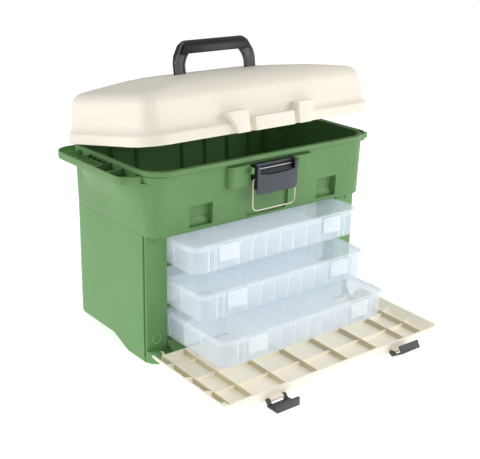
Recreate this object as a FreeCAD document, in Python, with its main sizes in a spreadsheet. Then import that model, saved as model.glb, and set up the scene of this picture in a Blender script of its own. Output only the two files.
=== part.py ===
import FreeCAD, Part
import math
import os
import Sketcher

# Fishing tackle cabinet: a green case with three pull-out utility trays, an
# open bin above it, a domed lid hinged at the back, and a front door that
# drops down to the floor.  Millimetres, +Z up, front faces -Y, and the origin
# is on the floor under the middle of the case.

V = FreeCAD.Vector
doc = FreeCAD.newDocument("tackle_cabinet")

# ------------------------------------------------------------------ the sheet
DIMS = {
    # case
    "case_width": 448.0, "case_depth": 240.0, "case_top": 217.0, "case_base": 17.0,
    "case_corner": 26.0, "wall": 3.0, "bay_floor": 29.7, "bay_half": 183.0,
    "post_front": -101.5, "post_side": 222.0, "groove_back": -97.0, "groove": 1.6,
    "foot_back": -45.0, "ramp_back": 0.0, "sill_top": 14.0, "rear_foot_x": 150.0,
    "rear_foot_y": 78.0, "ledge_inner": 150.0, "ledge_thick": 4.0, "guide_in": 183.0,
    "guide_thick": 2.5,
    # bin
    "bin_base": 217.0, "bin_depth": 243.0, "bin_mid": -1.5, "bin_top_width": 454.0, "bin_top_depth": 249.0, "bin_top_corner": 30.0, "bin_mouth_corner": 38.0,
    "rim_low": 317.5, "rim_top": 323.0, "rim_width": 468.0, "rim_depth": 262.0,
    "rim_corner": 48.0, "bin_floor": 224.0, "pocket_x": 133.0, "pocket_w": 45.0,
    "pocket_low": 223.0, "pocket_high": 259.0, "pocket_back": -112.0,
    "recess_half": 46.0, "recess_back": -118.5, "boss_out": 90.0, "boss_low": 277.0,
    "boss_high": 309.0, "boss_front": -137.0,
    "lug_out": 261.0, "lug_half": 109.5, "lug_mid": 7.5, "lug_top": 315.0, "lug_high": 12.0,
    "lug_wall": 2.5, "lug_corner": 28.0,
    # lid, drawn closed and then opened about the rear hinge
    "hinge_y": 136.5, "hinge_z": 318.0, "hinge_radius": 2.0, "knuckle": 5.0,
    "lid_open": 10.5, "lid_low": 316.0, "lid_width": 477.0, "lid_front": -137.0,
    "lid_back": 132.5, "lid_corner": 34.0, "lid_step": 343.5, "lid_crown": 411.5,
    "lid_shoulder": 393.0, "lid_wall": 3.0, "block_half": 40.0, "block_top": 338.0,
    "block_front": -147.0,
    # handle
    "handle_half": 83.0, "handle_high": 61.5, "handle_leg": 19.0, "handle_x": 73.5, "handle_thick": 10.0,
    "grip_deep": 27.0, "grip_high": 22.0, "handle_pin": 2.0, "handle_axis": 402.5,
    # draw latch
    "lever_half": 42.0, "lever_axis_y": -142.0, "lever_axis_z": 304.0,
    "lever_front": -150.0, "lever_low": 263.0, "lever_high": 311.5,
    "bail_axis_y": -142.0, "bail_axis_z": 288.0, "bail_long": 53.0,
    "bail_wire": 1.2, "bail_half": 44.6, "latch_pin": 1.5,
    # door, drawn open on the floor
    "door_axis_y": -112.0, "door_axis_z": 14.5, "door_half": 230.0, "door_foot": 214.5,
    "door_wall": 3.4, "door_low": 8.0, "door_skin": 3.0, "door_edge": -313.0,
    "door_root": -121.5, "door_lip": 28.0, "door_side": 30.0, "rib_pitch": 66.0,
    "rib_high": 20.0, "bar_high": 16.5, "door_pin": 3.0, "ear_in": 199.0, "ear_thick": 4.5,
    # door latches
    "dlatch_x": 133.0, "dlatch_half": 22.0, "tongue_y": -316.6,
    "tongue_z": 11.6, "dlatch_end": -345.0, "dlatch_hook": 14.0,
    "dlatch_tilt": 32.0, "door_tilt": 1.5, "dlatch_axis_y": -316.454, "dlatch_axis_z": 6.2452,
    # trays
    "tray_half": 178.0, "tray_deep": 213.0, "tray_high": 50.0, "tray_skirt": 11.0,
    "tray_corner": 14.0, "tray_wall": 2.0, "tray_top_level": 158.0,
    "tray_middle_level": 87.0, "tray_bottom_level": 30.0, "tray_top_front": -166.0,
    "tray_middle_front": -189.0, "tray_bottom_front": -242.5, "clip_x": 110.0,
    "clip_half": 20.0, "clip_low": 22.0, "clip_axis": 43.5, "divider": 1.4,
    # clearances
    "pin_gap": 0.05,
}
sheet = doc.addObject("Spreadsheet::Sheet", "Dims")
for i, (key, val) in enumerate(DIMS.items(), start=1):
    sheet.set("A%d" % i, key)
    sheet.set("B%d" % i, str(val))
    sheet.setAlias("B%d" % i, key)
doc.recompute()


class Q:
    """A length that knows both its value and its spreadsheet expression."""

    def __init__(self, val, text=None):
        self.v = float(val)
        self.e = text if text is not None else repr(float(val))

    @staticmethod
    def of(x):
        return x if isinstance(x, Q) else Q(x)

    def __add__(self, o):
        o = Q.of(o)
        return Q(self.v + o.v, "(%s + %s)" % (self.e, o.e))

    __radd__ = __add__

    def __sub__(self, o):
        o = Q.of(o)
        return Q(self.v - o.v, "(%s - %s)" % (self.e, o.e))

    def __rsub__(self, o):
        return Q.of(o) - self

    def __mul__(self, o):
        o = Q.of(o)
        return Q(self.v * o.v, "(%s * %s)" % (self.e, o.e))

    __rmul__ = __mul__

    def __truediv__(self, o):
        o = Q.of(o)
        return Q(self.v / o.v, "(%s / %s)" % (self.e, o.e))

    def __neg__(self):
        return Q(-self.v, "(-1 * %s)" % self.e)


class Dims:
    def __getattr__(self, key):
        return Q(DIMS[key], "Dims.%s" % key)


D = Dims()
NODES = []


def bind(obj, prop, q):
    q = Q.of(q)
    obj.setExpression(prop, q.e)


def new_body(name):
    b = doc.addObject("PartDesign::Body", name)
    b.Label = name
    NODES.append(b)
    return b


def origin_plane(body, role):
    for f in body.Origin.OriginFeatures:
        if f.Role == role:
            return f
    raise RuntimeError("no plane " + role)


def new_sketch(body, name, role, off):
    sk = body.newObject("Sketcher::SketchObject", name)
    sk.AttachmentSupport = (origin_plane(body, role), [""])
    sk.MapMode = "FlatFace"
    for ax, q in zip("xyz", off):
        q = Q.of(q)
        if q.v != 0.0 or "Dims" in q.e:
            bind(sk, "AttachmentOffset.Base." + ax, q)
    return sk


def rounded_rect(body, name, role, w, t, r, off):
    """Rounded rectangle w by t about the sketch's own origin."""
    w, t, r = Q.of(w), Q.of(t), Q.of(r)
    sk = new_sketch(body, name, role, off)
    a, b, c = w.v / 2, t.v / 2, r.v
    ln, arc = Part.LineSegment, Part.ArcOfCircle
    z = V(0, 0, 1)

    def arcat(x, y, s):
        return arc(Part.Circle(V(x, y, 0), z, c), math.radians(s), math.radians(s + 90))

    geo = [
        ln(V(-a + c, -b, 0), V(a - c, -b, 0)), arcat(a - c, -b + c, -90),
        ln(V(a, -b + c, 0), V(a, b - c, 0)), arcat(a - c, b - c, 0),
        ln(V(a - c, b, 0), V(-a + c, b, 0)), arcat(-a + c, b - c, 90),
        ln(V(-a, b - c, 0), V(-a, -b + c, 0)), arcat(-a + c, -b + c, 180),
    ]
    sk.addGeometry(geo, False)
    con = Sketcher.Constraint
    for i in range(8):
        sk.addConstraint(con("Tangent", i, 2, (i + 1) % 8, 1))
    sk.addConstraint([con("Horizontal", 0), con("Vertical", 2), con("Horizontal", 4), con("Vertical", 6)])
    sk.addConstraint([con("Equal", 1, 3), con("Equal", 3, 5), con("Equal", 5, 7)])
    sk.addConstraint(con("Symmetric", 0, 1, 4, 1, -1, 1))
    for nm, c0, q in (
        ("width", con("DistanceX", 6, 1, 2, 1, w.v), w),
        ("depth", con("DistanceY", 0, 1, 4, 1, t.v), t),
        ("corner", con("Radius", 1, r.v), r),
    ):
        k = sk.addConstraint(c0)
        sk.renameConstraint(k, nm)
        bind(sk, "Constraints." + nm, q)
    return sk


def polygon(body, name, role, pts, off=(0, 0, 0)):
    """Closed polygon whose corners are each held by two driven distances."""
    sk = new_sketch(body, name, role, off)
    pts = [(Q.of(x), Q.of(y)) for x, y in pts]
    n = len(pts)
    for i in range(n):
        p, q = pts[i], pts[(i + 1) % n]
        sk.addGeometry(Part.LineSegment(V(p[0].v, p[1].v, 0), V(q[0].v, q[1].v, 0)), False)
    con = Sketcher.Constraint
    for i in range(n):
        sk.addConstraint(con("Coincident", i, 2, (i + 1) % n, 1))
    for i, (x, y) in enumerate(pts):
        for kind, q, tag in (("DistanceX", x, "px"), ("DistanceY", y, "py")):
            if abs(q.v) < 1e-9:
                sk.addConstraint(con("PointOnObject", i, 1, -2 if kind == "DistanceX" else -1))
                continue
            if q.v > 0:
                c0 = con(kind, -1, 1, i, 1, q.v)
                e = q
            else:
                c0 = con(kind, i, 1, -1, 1, -q.v)
                e = -q
            k = sk.addConstraint(c0)
            sk.renameConstraint(k, "%s%d" % (tag, i))
            bind(sk, "Constraints.%s%d" % (tag, i), e)
    return sk


def cells(body, name, rects):
    """One sketch with a row of rectangles, every corner driven."""
    sk = new_sketch(body, name, "XY_Plane", (0, 0, 0))
    con = Sketcher.Constraint
    for k, (xa, xb, ya, yb) in enumerate(rects):
        c = [(xa, ya), (xb, ya), (xb, yb), (xa, yb)]
        for i in range(4):
            p, q = c[i], c[(i + 1) % 4]
            sk.addGeometry(Part.LineSegment(V(p[0].v, p[1].v, 0), V(q[0].v, q[1].v, 0)), False)
        for i in range(4):
            sk.addConstraint(con("Coincident", k * 4 + i, 2, k * 4 + (i + 1) % 4, 1))
            sk.addConstraint(con("Horizontal" if i % 2 == 0 else "Vertical", k * 4 + i))
        for i, kind, q, tag in ((0, "DistanceX", xa, "xa"), (0, "DistanceY", ya, "ya"),
                                (2, "DistanceX", xb, "xb"), (2, "DistanceY", yb, "yb")):
            if q.v > 0:
                c0, e = con(kind, -1, 1, k * 4 + i, 1, q.v), q
            else:
                c0, e = con(kind, k * 4 + i, 1, -1, 1, -q.v), -q
            n = sk.addConstraint(c0)
            sk.renameConstraint(n, "%s%d" % (tag, k))
            bind(sk, "Constraints.%s%d" % (tag, k), e)
    return sk


def pad(body, sk, length, name, taper=0, mid=False, reverse=False, cut=False):
    f = body.newObject("PartDesign::Pocket" if cut else "PartDesign::Pad", name)
    f.Profile = sk
    bind(f, "Length", length)
    if mid:
        f.Midplane = True
    f.Reversed = reverse
    if Q.of(taper).v != 0.0:
        bind(f, "TaperAngle", taper)
    return f


def loft(body, low, high, name, cut=False):
    f = body.newObject("PartDesign::SubtractiveLoft" if cut else "PartDesign::AdditiveLoft", name)
    f.Profile = low
    f.Sections = [high]
    f.Ruled = True
    return f


def box(body, name, x0, x1, y0, y1, z0, z1, cut=False):
    x0, x1, y0, y1, z0, z1 = [Q.of(q) for q in (x0, x1, y0, y1, z0, z1)]
    f = body.newObject("PartDesign::%sBox" % ("Subtractive" if cut else "Additive"), name)
    bind(f, "Length", x1 - x0)
    bind(f, "Width", y1 - y0)
    bind(f, "Height", z1 - z0)
    for ax, q in (("x", x0), ("y", y0), ("z", z0)):
        bind(f, "Placement.Base." + ax, q)
    return f


ROT = {"x": FreeCAD.Rotation(V(0, 1, 0), 90), "y": FreeCAD.Rotation(V(1, 0, 0), -90),
       "z": FreeCAD.Rotation()}


def cyl(body, name, axis, at, radius, length, cut=False):
    """Cylinder that starts at the point and runs along +axis."""
    f = body.newObject("PartDesign::%sCylinder" % ("Subtractive" if cut else "Additive"), name)
    f.Placement = FreeCAD.Placement(V(0, 0, 0), ROT[axis])
    bind(f, "Radius", radius)
    bind(f, "Height", length)
    for ax, q in zip("xyz", at):
        bind(f, "Placement.Base." + ax, Q.of(q))
    return f


def round_edges(body, base, radius, pick, name):
    """Fillet the edges of the base feature that pick(edge) accepts."""
    doc.recompute()
    names = ["Edge%d" % (i + 1) for i, e in enumerate(base.Shape.Edges) if pick(e)]
    if not names:
        raise RuntimeError("no edges for " + name)
    f = body.newObject("PartDesign::Fillet", name)
    f.Base = (base, names)
    bind(f, "Radius", radius)
    return f


def span(e):
    b = e.BoundBox
    return b.XLength, b.YLength, b.ZLength


def pins(name, specs):
    """A group of separate pins along X: each (x0, x1, y, z, radius)."""
    parts = []
    for i, (x0, x1, y, z, r) in enumerate(specs):
        c = doc.addObject("Part::Cylinder", "%s_%d" % (name, i + 1))
        c.Placement = FreeCAD.Placement(V(0, 0, 0), ROT["x"])
        bind(c, "Radius", r)
        bind(c, "Height", Q.of(x1) - Q.of(x0))
        for ax, q in zip("xyz", (x0, y, z)):
            bind(c, "Placement.Base." + ax, Q.of(q))
        parts.append(c)
    if len(parts) == 1:
        parts[0].Label = name
        NODES.append(parts[0])
        return parts[0]
    g = doc.addObject("Part::Compound", name)
    g.Links = parts
    g.Label = name
    NODES.append(g)
    return g


def swing(obj, axis, degrees, y, z):
    """Turn a sub-part about an X-parallel axis through (y, z)."""
    obj.Placement = FreeCAD.Placement(V(0, 0, 0), FreeCAD.Rotation(axis, degrees), V(0, y, z))


# ================================================================ lower case
half_w = D.case_width / 2
half_d = D.case_depth / 2
b = new_body("lower_case")
sk = rounded_rect(b, "case_outline", "XY_Plane", D.case_width, D.case_depth, D.case_corner, (0, 0, 0))
pad(b, sk, D.case_top, "case_block")
# the underside steps up behind the full-width front foot
sk = polygon(b, "case_under", "YZ_Plane",
             [(D.foot_back, 0), (D.ramp_back, D.case_base), (half_d + 4, D.case_base),
              (half_d + 4, Q(-4)), (D.foot_back, Q(-4))])
pad(b, sk, D.case_width + 20, "case_under_cut", mid=True, cut=True)
# the bay for the trays, open at the front and at the top
bay_mid = (D.groove_back + 4 + half_d - D.wall) / 2
sk = rounded_rect(b, "bay_outline", "XY_Plane", D.case_width - D.wall * 2, half_d - D.wall - D.groove_back - 4,
                  D.case_corner - D.wall, (0, bay_mid, D.bay_floor))
pad(b, sk, D.case_top - D.bay_floor + 1, "bay", cut=True, reverse=True)
box(b, "bay_mouth", -D.bay_half, D.bay_half, -half_d - 1, D.groove_back + 5,
    D.bay_floor, D.case_top + 1, cut=True)
# cored-out cells under the bay floor, open below
for tag, ya, yb, deep in (("foot", Q(-96.0), Q(-50.0), Q(26.5)), ("mid", Q(8.0), Q(54.0), Q(26.5)),
                          ("back", Q(57.0), Q(75.0), Q(26.5))):
    sk = cells(b, "cells_%s_sk" % tag, [(Q(-206.0 + 52.0 * k), Q(-206.0 + 52.0 * k + 48.0), ya, yb) for k in range(8)])
    pad(b, sk, deep, "cells_" + tag, cut=True, reverse=True)
# a flat pad under the middle, level with the front foot
box(b, "middle_pad", Q(-35.0), Q(35.0), D.foot_back - 4, Q(7.0), 0, D.case_base + 3)
# posts stand back behind the door; a low sill and two hinge blocks stand in front
sk = polygon(b, "sill_sk", "YZ_Plane", [(Q(-121.0), D.sill_top + 1), (Q(-102.0), D.bay_floor - 1.5),
                                        (Q(-102.0), D.bay_floor + 1), (Q(-121.0), D.bay_floor + 1)])
pad(b, sk, D.bay_half * 2, "sill_slope", mid=True, cut=True)
for s, tag in ((-1, "left"), (1, "right")):
    xo, xi = (-half_w - 1, -D.bay_half) if s < 0 else (D.bay_half, half_w + 1)
    box(b, "post_setback_" + tag, xo, xi, -half_d - 1, D.post_front, Q(22.0), D.case_top + 1, cut=True)
    xo, xi = (Q(-205.0), -D.bay_half) if s < 0 else (D.bay_half, Q(205.0))
    box(b, "sill_end_" + tag, xo, xi, -half_d - 1, D.post_front, D.sill_top, Q(23.0), cut=True)
for s, tag in ((-1, "left"), (1, "right")):
    # the post's outer side is stepped in so that the door's wall lies flush
    if s < 0:
        box(b, "post_step_" + tag, -half_w - 1, -D.post_side, -half_d - 1, D.groove_back,
            Q(-1.0), D.case_top + 1, cut=True)
        box(b, "post_groove_" + tag, -half_w - 1, -D.post_side + D.groove, D.groove_back - 0.1,
            D.groove_back + D.groove, Q(12.0), D.case_top + 1, cut=True)
    else:
        box(b, "post_step_" + tag, D.post_side, half_w + 1, -half_d - 1, D.groove_back,
            Q(-1.0), D.case_top + 1, cut=True)
        box(b, "post_groove_" + tag, D.post_side - D.groove, half_w + 1, D.groove_back - 0.1,
            D.groove_back + D.groove, Q(12.0), D.case_top + 1, cut=True)
    # moulded ring on the post above the hinge
    cyl(b, "ring_" + tag, "y", (s * 204.0, D.post_front - 0.8, 40.0), Q(8.5), Q(1.2))
    cyl(b, "ring_in_" + tag, "y", (s * 204.0, D.post_front - 1.2, 40.0), Q(7.3), Q(1.2), cut=True)
    # hinge bore of the door
    x0 = Q(204.0) if s > 0 else Q(-219.5)
    cyl(b, "hinge_bore_" + tag, "x", (x0, D.door_axis_y, D.door_axis_z),
        D.door_pin + D.pin_gap, Q(15.5), cut=True)
    # slot in the sill for the door's hinge ear
    xa, xb = (Q(-205.0), -D.ear_in + 1.2) if s < 0 else (D.ear_in - 1.2, Q(205.0))
    box(b, "ear_slot_" + tag, xa, xb, Q(-122.0), D.post_front, Q(4.5), D.sill_top + 2, cut=True)
# runners for the middle and the top tray, and a full-height panel on each side of the bays
for tag, level in (("middle", D.tray_middle_level), ("top", D.tray_top_level)):
    top = level - 0.3
    for s, side in ((-1, "left"), (1, "right")):
        if s < 0:
            xa, xb = -D.guide_in - 1, -D.ledge_inner
        else:
            xa, xb = D.ledge_inner, D.guide_in + 1
        box(b, "runner_%s_%s" % (tag, side), xa, xb, D.groove_back + 3, half_d - 1.5,
            top - D.ledge_thick, top)
for s, side in ((-1, "left"), (1, "right")):
    ga, gb = (-D.guide_in - D.guide_thick, -D.guide_in) if s < 0 else (D.guide_in, D.guide_in + D.guide_thick)
    box(b, "panel_" + side, ga, gb, D.groove_back + 2, half_d - 1.5,
        D.bay_floor - 1, D.case_top)
# two inset feet at the back
for s, side in ((-1, "left"), (1, "right")):
    cx = D.rear_foot_x * s
    box(b, "rear_foot_" + side, cx - 26, cx + 26, D.rear_foot_y, D.rear_foot_y + 22,
        0, D.case_base + 10)

# ================================================================= upper bin
b = new_body("upper_bin")
# end carry lugs: one loop with cross ribs, which the bin's block and hollow then run through
sk = rounded_rect(b, "lug_outline", "XY_Plane", D.lug_out * 2, D.lug_half * 2, D.lug_corner,
                  (0, D.lug_mid, D.lug_top - D.lug_high))
pad(b, sk, D.lug_high, "lug_block")
sk = rounded_rect(b, "lug_inside", "XY_Plane", (D.lug_out - D.lug_wall) * 2, (D.lug_half - D.lug_wall) * 2,
                  D.lug_corner - D.lug_wall, (0, D.lug_mid, D.lug_top - D.lug_high))
pad(b, sk, D.lug_high, "lug_hollow", cut=True, reverse=True)
inner = D.lug_out - 1
for k, (y, t) in enumerate(((-91.0, 1.2), (-50.0, 1.2), (-12.0, 1.2), (2.75, 0.9), (17.5, 0.9), (32.25, 0.9), (47.0, 1.2), (82.0, 1.2))):
    box(b, "lug_rib_%d" % k, -inner, inner, Q(y - t), Q(y + t), D.lug_top - D.lug_high, D.lug_top)
box(b, "lug_web", -inner, inner, Q(-12.0), Q(47.0), D.lug_top - D.lug_high, D.lug_top - D.lug_high + 2)
sk = rounded_rect(b, "bin_outline", "XY_Plane", D.case_width, D.bin_depth, D.case_corner, (0, D.bin_mid, D.bin_base))
sk2 = rounded_rect(b, "bin_outline_top", "XY_Plane", D.bin_top_width, D.bin_top_depth, D.bin_top_corner, (0, D.bin_mid, D.rim_low + 1))
loft(b, sk, sk2, "bin_block")
sk = rounded_rect(b, "rim_outline", "XY_Plane", D.rim_width, D.rim_depth, D.rim_corner, (0, D.bin_mid, D.rim_low))
rim = pad(b, sk, D.rim_top - D.rim_low, "rim")
round_edges(b, rim, Q(2.2), lambda e: abs(e.BoundBox.ZMin - 323) < 1e-4 and abs(e.BoundBox.ZMax - 323) < 1e-4, "rim_round")
# slanted gussets carry the middle of each lug
for s, side in ((-1, "left"), (1, "right")):
    pts = [(224.0, 236.0), (261.0, 302.5), (261.0, 304.0), (257.0, 304.0), (224.0, 244.0)]
    pts = [(s * x, z) for x, z in pts]
    sk = polygon(b, "gusset_sk_" + side, "XZ_Plane", [(Q(x), Q(z)) for x, z in pts], (0, 0, -(38.0 - 96.0 / 2) + 0))
    pad(b, sk, Q(96.0), "gusset_" + side, mid=True)
# latch bosses and the housings of the two catch pockets stand on the front wall
for s, side in ((-1, "left"), (1, "right")):
    xa, xb = (-D.boss_out, -D.recess_half) if s < 0 else (D.recess_half, D.boss_out)
    box(b, "boss_" + side, xa, xb, D.boss_front, Q(-121.0), D.boss_low, D.boss_high)
    xe = -D.recess_half - 6 if s < 0 else D.recess_half
    box(b, "boss_ear_" + side, xe, xe + 6, D.lever_axis_y - 4.5, D.boss_front + 2, D.lever_axis_z - 5, D.boss_high)
# the inside, and then what stands inside it
sk = rounded_rect(b, "bin_inside", "XY_Plane", D.case_width - 6, D.bin_depth - 6, D.case_corner - 3,
                  (0, D.bin_mid, D.bin_floor))
sk2 = rounded_rect(b, "bin_inside_top", "XY_Plane", D.bin_top_width - 6, D.bin_top_depth - 6, D.bin_mouth_corner,
                   (0, D.bin_mid, D.rim_top + 1))
loft(b, sk, sk2, "bin_hollow", cut=True)
for s, side in ((-1, "left"), (1, "right")):
    cx = D.pocket_x * s
    box(b, "pocket_box_" + side, cx - D.pocket_w / 2 - 2.5, cx + D.pocket_w / 2 + 2.5,
        Q(-121.5), D.pocket_back + 2.5, D.bin_base, D.pocket_high + 2.5)
    box(b, "pocket_" + side, cx - D.pocket_w / 2, cx + D.pocket_w / 2,
        Q(-128.0), D.pocket_back, D.pocket_low, D.pocket_high, cut=True)
    box(b, "pocket_catch_" + side, cx - D.pocket_w / 2 - 1, cx + D.pocket_w / 2 + 1,
        D.pocket_back - 4, D.pocket_back + 1, Q(231.0), Q(236.0))
box(b, "recess_box", -D.recess_half - 2.5, D.recess_half + 2.5, Q(-121.5), D.recess_back + 2.5,
    D.bin_base, D.rim_low + 1)
box(b, "recess", -D.recess_half, D.recess_half, Q(-150.0), D.recess_back,
    Q(224.0), D.boss_high + 0.5, cut=True)
cyl(b, "lever_bore", "x", (Q(-54.0), D.lever_axis_y, D.lever_axis_z), D.latch_pin + D.pin_gap, Q(108.0), cut=True)
# divider slots: pairs of thin ribs up the inside of the front and back walls
for k, x in enumerate((-154.0, -103.0, -51.5, 51.5, 103.0, 154.0)):
    for j, dx in enumerate((-2.6, 1.0)):
        box(b, "slot_back_%d_%d" % (k, j), Q(x + dx), Q(x + dx + 1.6), Q(114.0), Q(121.0),
            D.bin_floor - 1, D.rim_top - 14)
# hinge knuckles behind the rim
for k, x in enumerate((-185.0, -66.0, 46.0, 165.0)):
    box(b, "knuckle_arm_%d" % k, Q(x), Q(x + 20.0), Q(122.0), D.hinge_y, D.rim_low, D.rim_top)
    cyl(b, "knuckle_%d" % k, "x", (Q(x), D.hinge_y, D.hinge_z), D.knuckle, Q(20.0))
cyl(b, "hinge_bore", "x", (Q(-200.0), D.hinge_y, D.hinge_z), D.hinge_radius + D.pin_gap, Q(400.0), cut=True)
binbody = b

# ================================================================ case rivets
rv = []
for i, (x, y, s) in enumerate(((-205.0, -101.5, 1), (205.0, -101.5, 1))):
    head = doc.addObject("Part::Cylinder", "rivet_%d" % (i + 1))
    head.Placement = FreeCAD.Placement(V(0, 0, 0), ROT["y"])
    bind(head, "Radius", Q(2.6))
    bind(head, "Height", Q(1.4))
    for ax, q in zip("xyz", (Q(x), D.post_front - 1.4, Q(203.0))):
        bind(head, "Placement.Base." + ax, q)
    rv.append(head)
for i, (x, z) in enumerate(((-140.0, 205.0), (140.0, 205.0))):
    head = doc.addObject("Part::Cylinder", "rivet_%d" % (i + 3))
    head.Placement = FreeCAD.Placement(V(0, 0, 0), ROT["y"])
    bind(head, "Radius", Q(3.2))
    bind(head, "Height", Q(1.4))
    for ax, q in zip("xyz", (Q(x), half_d, Q(z))):
        bind(head, "Placement.Base." + ax, q)
    rv.append(head)
g = doc.addObject("Part::Compound", "case_rivets")
g.Links = rv
g.Label = "case_rivets"
NODES.append(g)

# ======================================================================= lid
OPEN = -DIMS["lid_open"]
lid_mid = (D.lid_front + D.lid_back) / 2
lid_depth = D.lid_back - D.lid_front
b = new_body("lid_shell")
sk = rounded_rect(b, "skirt_outline", "XY_Plane", D.lid_width, lid_depth, D.lid_corner, (0, lid_mid, D.lid_low))
pad(b, sk, D.lid_step - D.lid_low, "skirt", taper=Q(-5.0))
sk = rounded_rect(b, "dome_outline", "XY_Plane", D.lid_width - 15, lid_depth - 15, D.lid_corner - 7.5, (0, lid_mid, D.lid_step - 1))
pad(b, sk, D.lid_crown - D.lid_step + 1, "dome", taper=Q(-7.0))
# the roof falls away to both ends and to the front and back
for s, side in ((-1, "left"), (1, "right")):
    sk = polygon(b, "roof_sk_" + side, "XZ_Plane",
                 [(Q(s * 245.0), D.lid_shoulder), (Q(s * 112.0), D.lid_crown - 4), (Q(s * 40.0), D.lid_crown),
                  (Q(s * 40.0), D.lid_crown + 6), (Q(s * 245.0), D.lid_crown + 6)])
    pad(b, sk, Q(320.0), "roof_" + side, mid=True, cut=True)
sk = polygon(b, "roof_sk_front", "YZ_Plane",
             [(Q(-150.0), D.lid_shoulder - 17), (Q(-104.0), D.lid_crown - 10), (Q(-86.0), D.lid_crown - 6), (Q(0.0), D.lid_crown - 3),
              (Q(45.0), D.lid_crown), (Q(45.0), D.lid_crown + 6), (Q(-150.0), D.lid_crown + 6)])
pad(b, sk, Q(520.0), "roof_front", mid=True, cut=True)
sk = polygon(b, "roof_sk_back", "YZ_Plane",
             [(Q(145.0), D.lid_shoulder - 17), (Q(99.0), D.lid_crown - 9.5), (Q(83.0), D.lid_crown - 3.5), (Q(60.0), D.lid_crown),
              (Q(60.0), D.lid_crown + 6), (Q(145.0), D.lid_crown + 6)])
pad(b, sk, Q(520.0), "roof_back", mid=True, cut=True)
# catch block between two posts on the front skirt
box(b, "catch_block", -D.block_half, D.block_half, D.block_front, D.lid_front + 4, D.lid_low, D.block_top)
for s, side in ((-1, "left"), (1, "right")):
    xa, xb = (Q(-84.0), Q(-51.0)) if s < 0 else (Q(51.0), Q(84.0))
    box(b, "catch_post_" + side, xa, xb, D.block_front + 1, D.lid_front + 6, D.lid_low, D.lid_step + 2)
# inside of the skirt and of the dome
sk = rounded_rect(b, "skirt_inside", "XY_Plane", D.lid_width - 5, lid_depth - 5, D.lid_corner - 2.5, (0, lid_mid, D.lid_low))
pad(b, sk, D.lid_step - D.lid_low - 2, "skirt_hollow", taper=Q(-5.0), cut=True, reverse=True)
sk = rounded_rect(b, "dome_inside", "XY_Plane", D.lid_width - 21, lid_depth - 21, D.lid_corner - 10.5, (0, lid_mid, D.lid_step - 4))
pad(b, sk, Q(40.0), "dome_hollow", taper=Q(-7.0), cut=True, reverse=True)
sk = polygon(b, "crown_sk_long", "YZ_Plane",
             [(Q(-121.0), D.lid_step + 33), (Q(-121.0), D.lid_step + 41), (Q(-106.0), D.lid_step + 50),
              (Q(103.0), D.lid_step + 50), (Q(116.5), D.lid_step + 41), (Q(116.5), D.lid_step + 33)])
pad(b, sk, Q(390.0), "crown_hollow_long", mid=True, cut=True)
sk = polygon(b, "crown_sk_wide", "XZ_Plane",
             [(Q(-204.0), D.lid_step + 48), (Q(-112.0), D.lid_crown - 10), (Q(-90.0), D.lid_crown - 9),
              (Q(90.0), D.lid_crown - 9), (Q(112.0), D.lid_crown - 10), (Q(204.0), D.lid_step + 48)])
pad(b, sk, Q(150.0), "crown_hollow_wide", mid=True, cut=True)
# the rear skirt is cut away over the rim, and carries the lid's knuckles
box(b, "rear_relief", Q(-238.0 + 6), Q(238.0 - 6), Q(124.0), Q(150.0), D.lid_low - 1, D.rim_top + 1.0, cut=True)
for k, x in enumerate((-164.0, -90.0, 70.0, 144.0)):
    box(b, "lid_arm_%d" % k, Q(x), Q(x + 20.0), Q(128.0), D.hinge_y + 4, D.rim_top + 1.2, D.rim_top + 10)
    box(b, "lid_leg_%d" % k, Q(x), Q(x + 20.0), D.hinge_y - 3.5, D.hinge_y + 4, D.hinge_z, D.rim_top + 3)
    cyl(b, "lid_knuckle_%d" % k, "x", (Q(x), D.hinge_y, D.hinge_z), D.knuckle, Q(20.0))
cyl(b, "lid_bore", "x", (Q(-200.0), D.hinge_y, D.hinge_z), D.hinge_radius + D.pin_gap, Q(400.0), cut=True)
# two sockets in the roof for the handle's feet
for s, side in ((-1, "left"), (1, "right")):
    cx = DIMS["handle_x"] * s
    box(b, "socket_box_" + side, Q(cx - 17), Q(cx + 17), Q(-12.0), Q(34.0), D.handle_axis - 11.5, D.lid_crown - 4)
    box(b, "socket_" + side, Q(cx - 12), Q(cx + 12), Q(-8.0), Q(30.0), D.handle_axis - 8, D.lid_crown + 4, cut=True)
    cyl(b, "handle_bore_" + side, "x", (Q(cx - 16), Q(0.0), D.handle_axis), D.handle_pin + D.pin_gap, Q(32.0), cut=True)
lid = b
swing(lid, V(1, 0, 0), OPEN, DIMS["hinge_y"], DIMS["hinge_z"])

pins("lid_hinge_rod", [(Q(-188.0), Q(188.0), D.hinge_y, D.hinge_z, D.hinge_radius)])
hp = pins("handle_pins", [(-D.handle_x - 15.5, -D.handle_x + 15.5, Q(0.0), D.handle_axis, D.handle_pin),
                          (D.handle_x - 15.5, D.handle_x + 15.5, Q(0.0), D.handle_axis, D.handle_pin)])
swing(hp, V(1, 0, 0), OPEN, DIMS["hinge_y"], DIMS["hinge_z"])

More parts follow.
